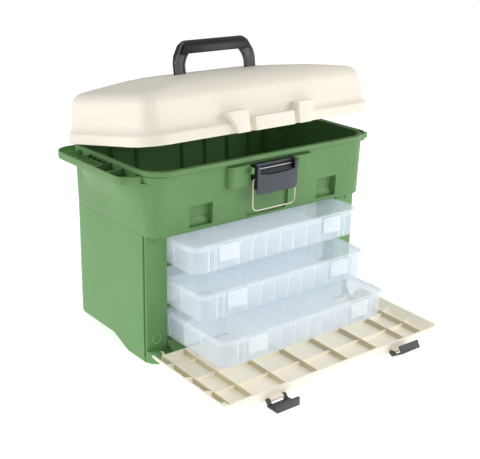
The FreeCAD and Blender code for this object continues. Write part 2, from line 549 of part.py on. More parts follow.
# ==================================================================== handle
b = new_body("carry_handle")
hh, axz = D.handle_half, D.handle_axis
top = axz + D.handle_high
hl = D.handle_leg
sk = polygon(b, "bow_sk", "XZ_Plane",
             [(-hh + 1, axz - 5.5), (-hh, axz + 26), (-hh + 3, axz + 38), (-hh + 13, top - 7), (-hh + 24, top),
              (hh - 24, top), (hh - 13, top - 7), (hh - 3, axz + 38), (hh, axz + 26), (hh - 1, axz - 5.5),
              (hh - hl, axz - 5.5), (hh - hl, axz + 22), (hh - hl - 9, top - D.grip_high), (-hh + hl + 9, top - D.grip_high),
              (-hh + hl, axz + 22), (-hh + hl, axz - 5.5)])
pad(b, sk, D.handle_thick, "bow", mid=True)
gr = box(b, "grip", -hh + 20, hh - 20, -D.grip_deep / 2, D.grip_deep / 2, top - D.grip_high, top)
round_edges(b, gr, Q(10.5), lambda e: span(e)[0] > 100 and e.BoundBox.ZMin > DIMS["handle_axis"] + 60 and abs(abs(e.BoundBox.YMin) - 13.5) < 1e-3, "grip_round")
for s, side in ((-1, "left"), (1, "right")):
    cyl(b, "foot_bore_" + side, "x", (D.handle_x * s - 13, Q(0.0), axz), D.handle_pin + D.pin_gap, Q(26.0), cut=True)
handle = b
swing(handle, V(1, 0, 0), OPEN, DIMS["hinge_y"], DIMS["hinge_z"])

# ================================================================ draw latch
b = new_body("main_latch_lever")
lh = D.lever_half
box(b, "plate", -lh, lh, D.lever_front, D.lever_front + 3, D.lever_low, D.lever_high - 9)
for s, side in ((-1, "left"), (1, "right")):
    xa, xb = (-lh, -lh + 4) if s < 0 else (lh - 4, lh)
    sk = polygon(b, "cheek_sk_" + side, "YZ_Plane",
                 [(D.lever_front + 0.5, D.lever_low + 5), (D.lever_front + 0.5, D.lever_high - 4), (D.lever_front + 5, D.lever_high),
                  (Q(-133.5), D.lever_high), (Q(-129.5), D.lever_high - 4), (Q(-129.5), Q(297.0)), (Q(-136.0), Q(281.0)),
                  (Q(-142.0), Q(270.0))],
                 (0, 0, (xa + xb) / 2))
    pad(b, sk, Q(4.0), "cheek_" + side, mid=True)
box(b, "bridge", -lh, lh, Q(-139.5), Q(-132.0), Q(305.5), D.lever_high - 1)
cyl(b, "lever_eye", "x", (-lh, D.lever_axis_y, D.lever_axis_z), D.latch_pin + D.pin_gap, lh * 2, cut=True)
for s, side in ((-1, "left"), (1, "right")):
    xa = -lh - 1 if s < 0 else lh - 5
    cyl(b, "bail_eye_" + side, "x", (xa, D.bail_axis_y, D.bail_axis_z), D.bail_wire + D.pin_gap, Q(6.0), cut=True)
lever = b
pins("main_latch_pin", [(Q(-53.0), Q(53.0), D.lever_axis_y, D.lever_axis_z, D.latch_pin)])

# wire bail: two inward ends, two legs and a crossbar, with bent corners
wr, bh, by, bz = D.bail_wire, D.bail_half, D.bail_axis_y, D.bail_axis_z
ra, rb_ = Q(2.4), Q(7.0)
parts = []


def rod(name, axis, at, r, length):
    c = doc.addObject("Part::Cylinder", name)
    c.Placement = FreeCAD.Placement(V(0, 0, 0), ROT[axis])
    bind(c, "Radius", r)
    bind(c, "Height", length)
    for ax, q in zip("xyz", at):
        bind(c, "Placement.Base." + ax, Q.of(q))
    return c


def bend(name, centre, big, small, start):
    """Quarter torus in the XZ plane, from angle start (0 = +X) through 90 degrees."""
    t = doc.addObject("Part::Torus", name)
    t.Placement = FreeCAD.Placement(V(0, 0, 0), FreeCAD.Rotation(V(1, 0, 0), 90) * FreeCAD.Rotation(V(0, 0, 1), start))
    bind(t, "Radius1", big)
    bind(t, "Radius2", small)
    t.Angle3 = 90
    for ax, q in zip("xyz", centre):
        bind(t, "Placement.Base." + ax, Q.of(q))
    return t


low = bz - D.bail_long
for s, side in ((-1, "left"), (1, "right")):
    if s < 0:
        parts.append(rod("bail_end_left", "x", (-bh + ra, by, bz), wr, Q(3.6)))
        parts.append(bend("bail_top_left", (-bh + ra, by, bz - ra), ra, wr, 90))
        parts.append(bend("bail_low_left", (-bh + rb_, by, low + rb_), rb_, wr, 180))
        xl = -bh
    else:
        parts.append(rod("bail_end_right", "x", (bh - ra - 3.6, by, bz), wr, Q(3.6)))
        parts.append(bend("bail_top_right", (bh - ra, by, bz - ra), ra, wr, 0))
        parts.append(bend("bail_low_right", (bh - rb_, by, low + rb_), rb_, wr, 270))
        xl = bh
    parts.append(rod("bail_leg_" + side, "z", (xl, by, low + rb_), wr, bz - ra - low - rb_))
parts.append(rod("bail_bar", "x", (-bh + rb_, by, low), wr, bh * 2 - rb_ * 2))
f = doc.addObject("Part::MultiFuse", "latch_bail")
f.Shapes = parts
f.Label = "latch_bail"
NODES.append(f)

# ====================================================================== door
b = new_body("front_door")
dh = D.door_half
mid_y, run = (D.door_edge + D.door_root) / 2, D.door_root - D.door_edge
# the side walls lean outwards from the skin to the rim
sk = polygon(b, "door_outer_sk", "XZ_Plane", [(-D.door_foot, D.door_low), (D.door_foot, D.door_low),
                                              (dh, D.door_side), (-dh, D.door_side)], (0, 0, -mid_y))
blk = pad(b, sk, run, "door_block", mid=True)
rnd = round_edges(b, blk, Q(8.0), lambda e: abs(e.BoundBox.ZMax - DIMS["door_low"]) < 1e-4 and
                  (e.BoundBox.YMax < DIMS["door_edge"] + 1 or span(e)[1] > 100), "door_round")
lean = (dh - D.door_foot) / (D.door_side - D.door_low)
ia = D.door_foot + lean * D.door_skin - D.door_wall
ib = dh + lean - D.door_wall
sk = polygon(b, "door_inner_sk", "XZ_Plane", [(-ia, D.door_low + D.door_skin), (ia, D.door_low + D.door_skin),
                                              (ib, D.door_side + 1), (-ib, D.door_side + 1)], (0, 0, -mid_y - 3))
pad(b, sk, run, "door_hollow", mid=True, cut=True)
box(b, "door_lip_cut", -dh + 10, dh - 10, D.door_edge - 1, D.door_edge + 12, D.door_lip, D.door_side + 1, cut=True)
# ears round the hinge pins stand inboard of the hinge blocks
for s, side in ((-1, "left"), (1, "right")):
    xa = -D.ear_in - D.ear_thick if s < 0 else D.ear_in
    box(b, "ear_%s" % side, xa, xa + D.ear_thick, D.door_root - 6, D.door_axis_y, D.door_low + 0.5, D.door_axis_z + 9)
    cyl(b, "ear_round_" + side, "x", (xa, D.door_axis_y, D.door_axis_z), Q(9.0), D.ear_thick)
    cyl(b, "ear_bore_" + side, "x", (xa - 1, D.door_axis_y, D.door_axis_z), D.door_pin + D.pin_gap, D.ear_thick + 2, cut=True)
# ribs: high ones up the door, low bars across it
z0 = D.door_low + D.door_skin - 0.5
for k, x in enumerate((-207.0, -165.0, -99.0, -33.0, 33.0, 99.0, 165.0, 207.0)):
    cx = Q(x) if abs(x) > 200 else D.rib_pitch * (x / 66.0)
    box(b, "rib_%d" % k, cx - 1.3, cx + 1.3, D.door_edge + 1, D.door_root, z0, D.rib_high)
for k, y in enumerate((-257.0, -207.0, -157.0)):
    box(b, "bar_%d" % k, -ia - 1, ia + 1, Q(y - 1.5), Q(y + 1.5), z0, D.bar_high)
# a tongue for each latch stands in front of the lip
for s, side in ((-1, "left"), (1, "right")):
    cx = D.dlatch_x * s
    box(b, "tongue_" + side, cx - 13, cx + 13, D.tongue_y - 0.5, D.door_edge + 3.5, D.tongue_z - 3.2, D.tongue_z + 3.2)
    cyl(b, "tongue_round_" + side, "x", (cx - 13, D.tongue_y, D.tongue_z), Q(3.2), Q(26.0))
    cyl(b, "tongue_bore_" + side, "x", (cx - 14, D.tongue_y, D.tongue_z), D.latch_pin + D.pin_gap, Q(28.0), cut=True)
# the open door hangs a little below level, its free edge near the floor
swing(b, V(1, 0, 0), DIMS["door_tilt"], DIMS["door_axis_y"], DIMS["door_axis_z"])
door = b
pins("door_hinge_pins", [(Q(-219.0), -D.ear_in + 0.5, D.door_axis_y, D.door_axis_z, D.door_pin),
                         (D.ear_in - 0.5, Q(219.0), D.door_axis_y, D.door_axis_z, D.door_pin)])

# ============================================================== door latches
for s, side in ((-1, "left"), (1, "right")):
    b = new_body("door_latch_" + side)
    cx = D.dlatch_x * s
    w = D.dlatch_half
    ay, az = D.dlatch_axis_y, D.dlatch_axis_z
    box(b, "arm_" + side, cx - w, cx + w, D.dlatch_end, ay - 3.6, Q(0.4), Q(3.0))
    box(b, "hook_" + side, cx - w, cx + w, D.dlatch_end, D.dlatch_end + 2.6, Q(0.4), D.dlatch_hook)
    box(b, "barb_" + side, cx - w, cx + w, D.dlatch_end + 2.0, D.dlatch_end + 4.0, D.dlatch_hook - 2.4, D.dlatch_hook)
    for t in (-1, 1):
        tag = "%s_%s" % (side, "a" if t < 0 else "b")
        xa = cx - 18.5 if t < 0 else cx + 13.6
        box(b, "prong_leg_" + tag, xa, xa + 4.9, ay - 8, ay, Q(0.4), az + 1)
        cyl(b, "prong_" + tag, "x", (xa, ay, az), Q(4.2), Q(4.9))
    cyl(b, "prong_bore_" + side, "x", (cx - 20, ay, az), D.latch_pin + D.pin_gap, Q(40.0), cut=True)
    if s > 0:
        swing(b, V(1, 0, 0), -DIMS["dlatch_tilt"], DIMS["dlatch_axis_y"], DIMS["dlatch_axis_z"])
pins("door_latch_pins", [(-D.dlatch_x - 18.2, -D.dlatch_x + 18.2, D.dlatch_axis_y, D.dlatch_axis_z, D.latch_pin),
                         (D.dlatch_x - 18.2, D.dlatch_x + 18.2, D.dlatch_axis_y, D.dlatch_axis_z, D.latch_pin)])

# ===================================================================== trays
for tray in ("top", "middle", "bottom"):
    front = getattr(D, "tray_%s_front" % tray)
    level = getattr(D, "tray_%s_level" % tray)

    def place(body):
        bind(body, "Placement.Base.y", front)
        bind(body, "Placement.Base.z", level)

    th, td, tz = D.tray_half, D.tray_deep, D.tray_high
    # base: its front wall is 3 mm behind the lid's skirt
    b = new_body("tray_%s_base" % tray)
    sk = rounded_rect(b, "base_outline_" + tray, "XY_Plane", th * 2 - 12, td - 12, D.tray_corner - 3, (0, td / 2, 0))
    pad(b, sk, tz - 2, "base_block_" + tray, taper=Q(3.0))
    sk = rounded_rect(b, "base_inside_" + tray, "XY_Plane", th * 2 - 16, td - 16, D.tray_corner - 5, (0, td / 2, 2))
    pad(b, sk, tz, "base_hollow_" + tray, taper=Q(3.0), cut=True, reverse=True)
    box(b, "partition_" + tray, -th + 6.5, th - 6.5, td / 2 - 0.9, td / 2 + 0.9, Q(1.0), Q(44.0))
    for s, side in ((-1, "left"), (1, "right")):
        cx = D.clip_x * s
        box(b, "strike_%s_%s" % (tray, side), cx - 15, cx + 15, Q(0.6), Q(5.0), Q(25.5), Q(27.5))
    place(b)
    # lid with a shallow skirt
    b = new_body("tray_%s_lid" % tray)
    sk = rounded_rect(b, "lid_outline_" + tray, "XY_Plane", th * 2, td, D.tray_corner, (0, td / 2, tz - D.tray_skirt))
    lb = pad(b, sk, D.tray_skirt, "lid_block_" + tray)
    round_edges(b, lb, Q(2.0), lambda e: abs(e.BoundBox.ZMin - 50) < 1e-4 and abs(e.BoundBox.ZMax - 50) < 1e-4, "lid_round_" + tray)
    sk = rounded_rect(b, "lid_inside_" + tray, "XY_Plane", th * 2 - 4, td - 4, D.tray_corner - 2, (0, td / 2, tz - D.tray_skirt))
    pad(b, sk, D.tray_skirt - 2, "lid_hollow_" + tray, cut=True, reverse=True)
    for s, side in ((-1, "left"), (1, "right")):
        cx = D.clip_x * s
        # notch in the skirt for the snap latch, and a hinge stub each side of it
        box(b, "clip_notch_%s_%s" % (tray, side), cx - D.clip_half - 0.5, cx + D.clip_half + 0.5, Q(-1.0), Q(2.5), tz - D.tray_skirt - 1, tz - 3.2, cut=True)
    place(b)
    # loose dividers
    b = []
    spots = [(x * 29.0, 8.3, 105.3) for x in (-3, -2, -1, 0, 1, 2, 3)] + [(x * 58.0, 107.7, 204.7) for x in (-2, -1, 0, 1, 2)]
    for k, (x, ya, yb) in enumerate(spots):
        c = doc.addObject("Part::Box", "divider_%s_%d" % (tray, k))
        bind(c, "Length", D.divider)
        bind(c, "Width", Q(yb - ya))
        bind(c, "Height", Q(39.0))
        bind(c, "Placement.Base.x", Q(x) - D.divider / 2)
        bind(c, "Placement.Base.y", Q(ya))
        bind(c, "Placement.Base.z", Q(2.0))
        b.append(c)
    g = doc.addObject("Part::Compound", "tray_%s_dividers" % tray)
    g.Links = b
    g.Label = "tray_%s_dividers" % tray
    place(g)
    NODES.append(g)
    # snap latches
    for s, side in ((-1, "left"), (1, "right")):
        b = new_body("tray_%s_latch_%s" % (tray, side))
        cx = D.clip_x * s
        w = D.clip_half
        box(b, "tab_%s_%s" % (tray, side), cx - w, cx + w, Q(-2.2), Q(0.2), D.clip_low, D.clip_axis)
        cyl(b, "roll_%s_%s" % (tray, side), "x", (cx - w, Q(-0.6), D.clip_axis), Q(1.6), w * 2)
        box(b, "lip_%s_%s" % (tray, side), cx - w, cx + w, Q(-3.4), Q(-1.5), D.clip_low, D.clip_low + 2.5)
        box(b, "nib_%s_%s" % (tray, side), cx - 14, cx + 14, Q(0.0), Q(1.6), Q(28.0), Q(29.6))
        place(b)

# ==================================================== check, then write files
doc.recompute()
bad = []
for o in doc.Objects:
    if "Invalid" in o.State or "Error" in o.State:
        bad.append("%s: %s" % (o.Name, o.State))
for n in NODES:
    sh = n.Shape
    if sh.isNull() or not sh.isValid() or not sh.Solids:
        bad.append("%s: bad shape" % n.Label)
if bad:
    raise RuntimeError("; ".join(bad))
if len(NODES) > 60:
    raise RuntimeError("too many nodes")
os.makedirs("parts", exist_ok=True)
for n in NODES:
    n.Shape.exportStep(os.path.join("parts", n.Label + ".step"))
    bb = n.Shape.BoundBox
    print("%-28s solids %2d vol %9.0f  x %.1f..%.1f y %.1f..%.1f z %.1f..%.1f" % (
        n.Label, len(n.Shape.Solids), n.Shape.Volume, bb.XMin, bb.XMax, bb.YMin, bb.YMax, bb.ZMin, bb.ZMax))
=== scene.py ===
import bpy
import bmesh
import math
from mathutils import Matrix, Vector


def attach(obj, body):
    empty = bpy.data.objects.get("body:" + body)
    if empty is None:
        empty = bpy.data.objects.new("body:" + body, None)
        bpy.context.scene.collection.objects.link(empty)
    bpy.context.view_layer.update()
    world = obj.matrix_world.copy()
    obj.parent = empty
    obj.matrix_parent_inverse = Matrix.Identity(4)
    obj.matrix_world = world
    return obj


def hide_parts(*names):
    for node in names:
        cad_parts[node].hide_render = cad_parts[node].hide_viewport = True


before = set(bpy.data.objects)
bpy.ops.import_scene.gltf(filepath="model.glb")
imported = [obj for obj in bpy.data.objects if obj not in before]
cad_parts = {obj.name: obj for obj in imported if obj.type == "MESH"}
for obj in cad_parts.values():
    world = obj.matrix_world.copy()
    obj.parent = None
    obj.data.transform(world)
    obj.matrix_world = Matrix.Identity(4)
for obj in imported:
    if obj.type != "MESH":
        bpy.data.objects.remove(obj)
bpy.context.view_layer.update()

MM = 0.001

# --------------------------------------------------------------- mesh helpers


def arc_pts(cx, cy, r, a0, a1, n):
    return [(cx + r * math.cos(math.radians(a0 + (a1 - a0) * i / n)),
             cy + r * math.sin(math.radians(a0 + (a1 - a0) * i / n))) for i in range(n + 1)]


def rr(w, d, r, cy=0.0, n=10, cx=0.0):
    """Plan outline of a rounded rectangle, counter-clockwise."""
    a, b = w / 2, d / 2
    r = max(min(r, a - 0.01, b - 0.01), 0.01)
    p = []
    for sx, sy, s in ((1, -1, -90), (1, 1, 0), (-1, 1, 90), (-1, -1, 180)):
        p += arc_pts(cx + sx * (a - r), cy + sy * (b - r), r, s, s + 90, n)
    return p


def subdiv(pts, step):
    """Split the long straight sides so that a surface can bend along them."""
    out = []
    for i, p in enumerate(pts):
        q = pts[(i + 1) % len(pts)]
        out.append(p)
        k = int(math.hypot(q[0] - p[0], q[1] - p[1]) // step)
        for j in range(1, k + 1):
            t = j / (k + 1)
            out.append((p[0] + (q[0] - p[0]) * t, p[1] + (q[1] - p[1]) * t))
    return out


class Geo:
    def __init__(self):
        self.v, self.f = [], []

    def add(self, verts, faces):
        o = len(self.v)
        self.v += [tuple(p) for p in verts]
        self.f += [[i + o for i in f] for f in faces]
        return self

    def loft(self, rings, cap0=True, cap1=True):
        n = len(rings[0])
        v = [p for r in rings for p in r]
        f = []
        for k in range(len(rings) - 1):
            a, b = k * n, (k + 1) * n
            for i in range(n):
                j = (i + 1) % n
                f.append([a + i, a + j, b + j, b + i])
        if cap0:
            f.append(list(range(n))[::-1])
        if cap1:
            f.append([(len(rings) - 1) * n + i for i in range(n)])
        return self.add(v, f)

    def prism(self, poly, a, b, axis):
        """Polygon pushed from a to b along an axis. The polygon is in the other two axes, in order."""
        def at(p, t):
            if axis == "x":
                return (t, p[0], p[1])
            if axis == "y":
                return (p[0], t, p[1])
            return (p[0], p[1], t)
        return self.loft([[at(p, a) for p in poly], [at(p, b) for p in poly]])

    def box(self, x0, x1, y0, y1, z0, z1):
        return self.prism([(x0, y0), (x1, y0), (x1, y1), (x0, y1)], z0, z1, "z")

    def cyl(self, axis, c, r, a, b, n=32):
        return self.prism(arc_pts(c[0], c[1], r, 0, 360 - 360 / n, n - 1), a, b, axis)

    def tube(self, path, r, n=12, closed=False):
        """Round bar that follows a 3-D path."""
        pts = [Vector(p) for p in path]
        rings, up = [], None
        for i, p in enumerate(pts):
            t = (pts[min(i + 1, len(pts) - 1)] - pts[max(i - 1, 0)]).normalized()
            if up is None:
                up = t.orthogonal().normalized()
            up = (up - t * up.dot(t)).normalized()
            s = t.cross(up)
            rings.append([tuple(p + (up * math.cos(2 * math.pi * k / n) + s * math.sin(2 * math.pi * k / n)) * r) for k in range(n)])
        return self.loft(rings)

    def strip(self, path, th, z0, z1):
        """Upright band of even thickness along a plan path (thickness to the left of the path)."""
        pts = [Vector(p).to_2d() for p in path]
        side = []
        for i, p in enumerate(pts):
            d0 = (p - pts[i - 1]).normalized() if i else None
            d1 = (pts[i + 1] - p).normalized() if i < len(pts) - 1 else None
            d = ((d0 or d1) + (d1 or d0)).normalized()
            nrm = Vector((-d.y, d.x))
            k = max(nrm.dot(Vector((-(d1 or d0).y, (d1 or d0).x))), 0.5)
            side.append(p + nrm * th / k)
        return self.prism([tuple(p) for p in pts] + [tuple(p) for p in reversed(side)], z0, z1, "z")

    def mirror_x(self):
        o = len(self.v)
        self.v += [(-x, y, z) for x, y, z in self.v]
        self.f += [[i + o for i in reversed(f)] for f in self.f]
        return self

    def map(self, fn):
        self.v = [tuple(fn(*p)) for p in self.v]
        return self


def to_object(geo, name):
    me = bpy.data.meshes.new(name)
    me.from_pydata([(x * MM, y * MM, z * MM) for x, y, z in geo.v], [], geo.f)
    me.validate()
    bm = bmesh.new()
    bm.from_mesh(me)
    bmesh.ops.recalc_face_normals(bm, faces=bm.faces)
    bm.to_mesh(me)
    bm.free()
    o = bpy.data.objects.new(name, me)
    bpy.context.scene.collection.objects.link(o)
    return o


def bake_mods(o):
    dg = bpy.context.evaluated_depsgraph_get()
    dg.update()
    me = bpy.data.meshes.new_from_object(o.evaluated_get(dg))
    o.modifiers.clear()
    old = o.data
    o.data = me
    bpy.data.meshes.remove(old)
    return o


def boolean(o, geo, op="DIFFERENCE"):
    c = to_object(geo, "cutter") if isinstance(geo, Geo) else geo
    m = o.modifiers.new("b", "BOOLEAN")
    m.operation, m.solver, m.object = op, "EXACT", c
    m.use_self = True
    bake_mods(o)
    bpy.data.objects.remove(c)
    return o


def smooth(o, angle=34.0):
    me = o.data
    me.shade_smooth()
    me.set_sharp_from_angle(angle=math.radians(angle))
    return o


def soften(o, width=0.8, segs=2, angle=32.0, shade=34.0, merge=0.02):
    bm = bmesh.new()
    bm.from_mesh(o.data)
    bmesh.ops.remove_doubles(bm, verts=bm.verts, dist=merge * MM)
    bmesh.ops.dissolve_limit(bm, angle_limit=math.radians(0.4), verts=bm.verts, edges=bm.edges)
    bm.to_mesh(o.data)
    bm.free()
    m = o.modifiers.new("bevel", "BEVEL")
    m.width, m.segments, m.limit_method, m.angle_limit = width * MM, segs, "ANGLE", math.radians(angle)
    m.harden_normals = False
    m.use_clamp_overlap = True
    bake_mods(o)
    return smooth(o, shade)


def join(name, objs):
    """One object out of several, with their materials kept."""
    base = objs[0]
    bm = bmesh.new()
    mats = []
    for o in objs:
        idx = {}
        for i, s in enumerate(o.data.materials):
            if s not in mats:
                mats.append(s)
            idx[i] = mats.index(s)
        tmp = bmesh.new()
        tmp.from_mesh(o.data)
        for f in tmp.faces:
            f.material_index = idx.get(f.material_index, 0)
        me = bpy.data.meshes.new("tmp")
        tmp.to_mesh(me)
        tmp.free()
        bm.from_mesh(me)
        bpy.data.meshes.remove(me)
    me = bpy.data.meshes.new(name)
    bm.to_mesh(me)
    bm.free()
    for s in mats:
        me.materials.append(s)
    for o in objs:
        bpy.data.objects.remove(o)
    o = bpy.data.objects.new(name, me)
    bpy.context.scene.collection.objects.link(o)
    return o


# ------------------------------------------------------------------ materials


def ramp(nt, fac, stops):
    r = nt.nodes.new("ShaderNodeValToRGB")
    e = r.color_ramp.elements
    while len(e) < len(stops):
        e.new(0.5)
    for k, (pos, col) in enumerate(stops):
        e[k].position = pos
        e[k].color = (*col, 1)
    nt.links.new(fac, r.inputs["Fac"])
    return r.outputs["Color"]


def noise_tex(nt, vec, scale, detail=3.0, rough=0.55):
    n = nt.nodes.new("ShaderNodeTexNoise")
    n.inputs["Scale"].default_value = scale
    n.inputs["Detail"].default_value = detail
    n.inputs["Roughness"].default_value = rough
    nt.links.new(vec, n.inputs["Vector"])
    return n.outputs["Fac"]


def moulded(name, light, dark, rough=(0.34, 0.5), grain=2600.0, bump=0.05, mottle=9.0, spec=0.5,
            alpha=None, subsurface=0.0, metallic=0.0, painted_glow=0.0):
    """Moulded plastic: fine grain, slow colour drift and faint handling marks; painted_glow adds a painted glow in the
    light colour that brightens the part as painted light.
    """
    m = bpy.data.materials.new(name)
    m.use_nodes = True
    nt = m.node_tree
    b = nt.nodes["Principled BSDF"]
    tc = nt.nodes.new("ShaderNodeTexCoord").outputs["Object"]
    slow = noise_tex(nt, tc, mottle, 4.0)
    nt.links.new(ramp(nt, slow, [(0.32, dark), (0.68, light)]), b.inputs["Base Color"])
    fine = noise_tex(nt, tc, grain, 2.0)
    mid = noise_tex(nt, tc, grain / 9, 3.0)
    mr = nt.nodes.new("ShaderNodeMapRange")
    mr.inputs["From Min"].default_value, mr.inputs["From Max"].default_value = 0.3, 0.7
    mr.inputs["To Min"].default_value, mr.inputs["To Max"].default_value = rough
    nt.links.new(mid, mr.inputs["Value"])
    nt.links.new(mr.outputs["Result"], b.inputs["Roughness"])
    mix = nt.nodes.new("ShaderNodeMath")
    mix.operation = "MULTIPLY_ADD"
    mix.inputs[1].default_value = 0.35
    nt.links.new(mid, mix.inputs[0])
    nt.links.new(fine, mix.inputs[2])
    bp = nt.nodes.new("ShaderNodeBump")
    bp.inputs["Strength"].default_value = bump
    bp.inputs["Distance"].default_value = 0.0004
    nt.links.new(mix.outputs["Value"], bp.inputs["Height"])
    nt.links.new(bp.outputs["Normal"], b.inputs["Normal"])
    b.inputs["Specular IOR Level"].default_value = spec
    b.inputs["Metallic"].default_value = metallic
    if alpha is not None:
        b.inputs["Alpha"].default_value = alpha
        m.surface_render_method = "BLENDED"
    # painted light: an emission in the light colour makes the part glow brighter than its lamps make it
    if painted_glow:
        b.inputs["Emission Color"].default_value = (*light, 1)
        b.inputs["Emission Strength"].default_value = painted_glow
    if subsurface:
        b.inputs["Subsurface Weight"].default_value = subsurface
        b.inputs["Subsurface Radius"].default_value = (0.004, 0.004, 0.003)
        b.inputs["Subsurface Scale"].default_value = 0.6
    return m


GREEN = moulded("green_moulding", (0.148, 0.335, 0.112), (0.130, 0.305, 0.098), rough=(0.42, 0.55), spec=0.55)
GREEN_IN = moulded("green_moulding_inside", (0.152, 0.335, 0.124), (0.134, 0.300, 0.108), rough=(0.5, 0.65), spec=0.3)
GREEN_BIN = moulded("green_bin", (0.130, 0.288, 0.096), (0.114, 0.262, 0.084), rough=(0.42, 0.55), spec=0.55)
CREAM = moulded("cream_moulding", (0.940, 0.886, 0.780), (0.912, 0.856, 0.744), rough=(0.40, 0.52), spec=0.45, subsurface=0.0)
# painted light: the door's cream carries a painted glow that brightens it beyond its lighting
CREAM_DOOR = moulded("cream_door", (0.950, 0.896, 0.765), (0.925, 0.868, 0.732), rough=(0.42, 0.54), spec=0.4, painted_glow=0.13)
# painted highlight: a lighter green for the raised post rings, standing for the bright line of light on them
GREEN_RING_HIGHLIGHT = moulded("green_ring_painted_highlight", (0.30, 0.52, 0.26), (0.27, 0.48, 0.23), rough=(0.42, 0.55), spec=0.5)
# painted shadow: a dark green for the band of wall just under the bin's rim flange
GREEN_FLANGE_SHADOW = moulded("green_painted_flange_shadow", (0.075, 0.185, 0.058), (0.062, 0.160, 0.048), rough=(0.5, 0.62), spec=0.3)
# painted shade: a darker tan cream for the door ribs' faces that turn away from the light
CREAM_PAINTED_SHADE = moulded("cream_painted_shade", (0.66, 0.585, 0.40), (0.62, 0.545, 0.365), rough=(0.45, 0.58), spec=0.3)
CHARCOAL = moulded("charcoal_moulding", (0.017, 0.021, 0.023), (0.012, 0.015, 0.017), rough=(0.34, 0.46), mottle=30, bump=0.1, spec=0.32)
CHARCOAL_LEG = moulded("charcoal_leg", (0.105, 0.116, 0.126), (0.080, 0.090, 0.099), rough=(0.38, 0.52), mottle=30, bump=0.12)
# painted shade: near-black for the handle faces that lie in shade
CHARCOAL_PAINTED_SHADE = moulded("charcoal_painted_shade", (0.008, 0.009, 0.010), (0.005, 0.006, 0.007), rough=(0.5, 0.65), mottle=30, bump=0.1)
SLATE = moulded("slate_moulding", (0.058, 0.069, 0.088), (0.046, 0.056, 0.073), rough=(0.36, 0.48), mottle=40, bump=0.1)
# painted shadow: near-black slate for the shaded space behind the lever's pull plate
SLATE_PAINTED_SHADOW = moulded("slate_painted_shadow", (0.012, 0.014, 0.018), (0.008, 0.010, 0.013), rough=(0.5, 0.65), mottle=40)
GREY = moulded("grey_latch", (0.066, 0.074, 0.080), (0.052, 0.059, 0.065), rough=(0.42, 0.55), mottle=40, bump=0.1)
# painted light: the clear mouldings carry a painted glow that brightens them beyond their lighting
CLEAR = moulded("clear_moulding", (0.80, 0.87, 0.93), (0.74, 0.82, 0.89), rough=(0.16, 0.28), mottle=14, bump=0.006, grain=1200.0, alpha=0.32, painted_glow=0.17)
CLEAR_LID = moulded("clear_lid", (0.84, 0.90, 0.95), (0.79, 0.86, 0.92), rough=(0.18, 0.30), mottle=14, bump=0.006, grain=1200.0, alpha=0.26, painted_glow=0.17)
CLEAR_RIB = moulded("clear_rib", (0.90, 0.95, 0.99), (0.85, 0.91, 0.96), rough=(0.2, 0.32), mottle=20, bump=0.006, grain=1200.0, alpha=0.46, painted_glow=0.17)
CLEAR_TAB = moulded("clear_tab", (0.90, 0.94, 0.97), (0.86, 0.91, 0.95), rough=(0.22, 0.34), mottle=20, bump=0.006, grain=1200.0, alpha=0.34, painted_glow=0.20)
WIRE = moulded("bright_wire", (0.76, 0.73, 0.60), (0.68, 0.65, 0.52), rough=(0.3, 0.42), mottle=60, metallic=0.25, bump=0.02)
STEEL = moulded("steel_pin", (0.34, 0.35, 0.36), (0.24, 0.25, 0.26), rough=(0.24, 0.4), mottle=80, metallic=1.0, bump=0.06)


def paint(o, mat):
    o.data.materials.clear()
    o.data.materials.append(mat)
    return o


def place(o, body, slot, *nodes):
    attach(o, body)
    if nodes:
        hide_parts(*nodes)
    return o


def in_rr(x, y, w, d, r, cy=0.0):
    """True inside a rounded rectangle of the plan."""
    ax, ay = abs(x), abs(y - cy)
    if ax > w / 2 or ay > d / 2:
        return False
    dx, dy = ax - (w / 2 - r), ay - (d / 2 - r)
    return not (dx > 0 and dy > 0 and math.hypot(dx, dy) > r)


def dark_inside(o, test, mat):
    """Give the faces whose centre (mm) passes the test the second material."""
    o.data.materials.append(mat)
    k = len(o.data.materials) - 1
    for p in o.data.polygons:
        c = p.center / MM
        if test(c.x, c.y, c.z, p.normal):
            p.material_index = k
    return o


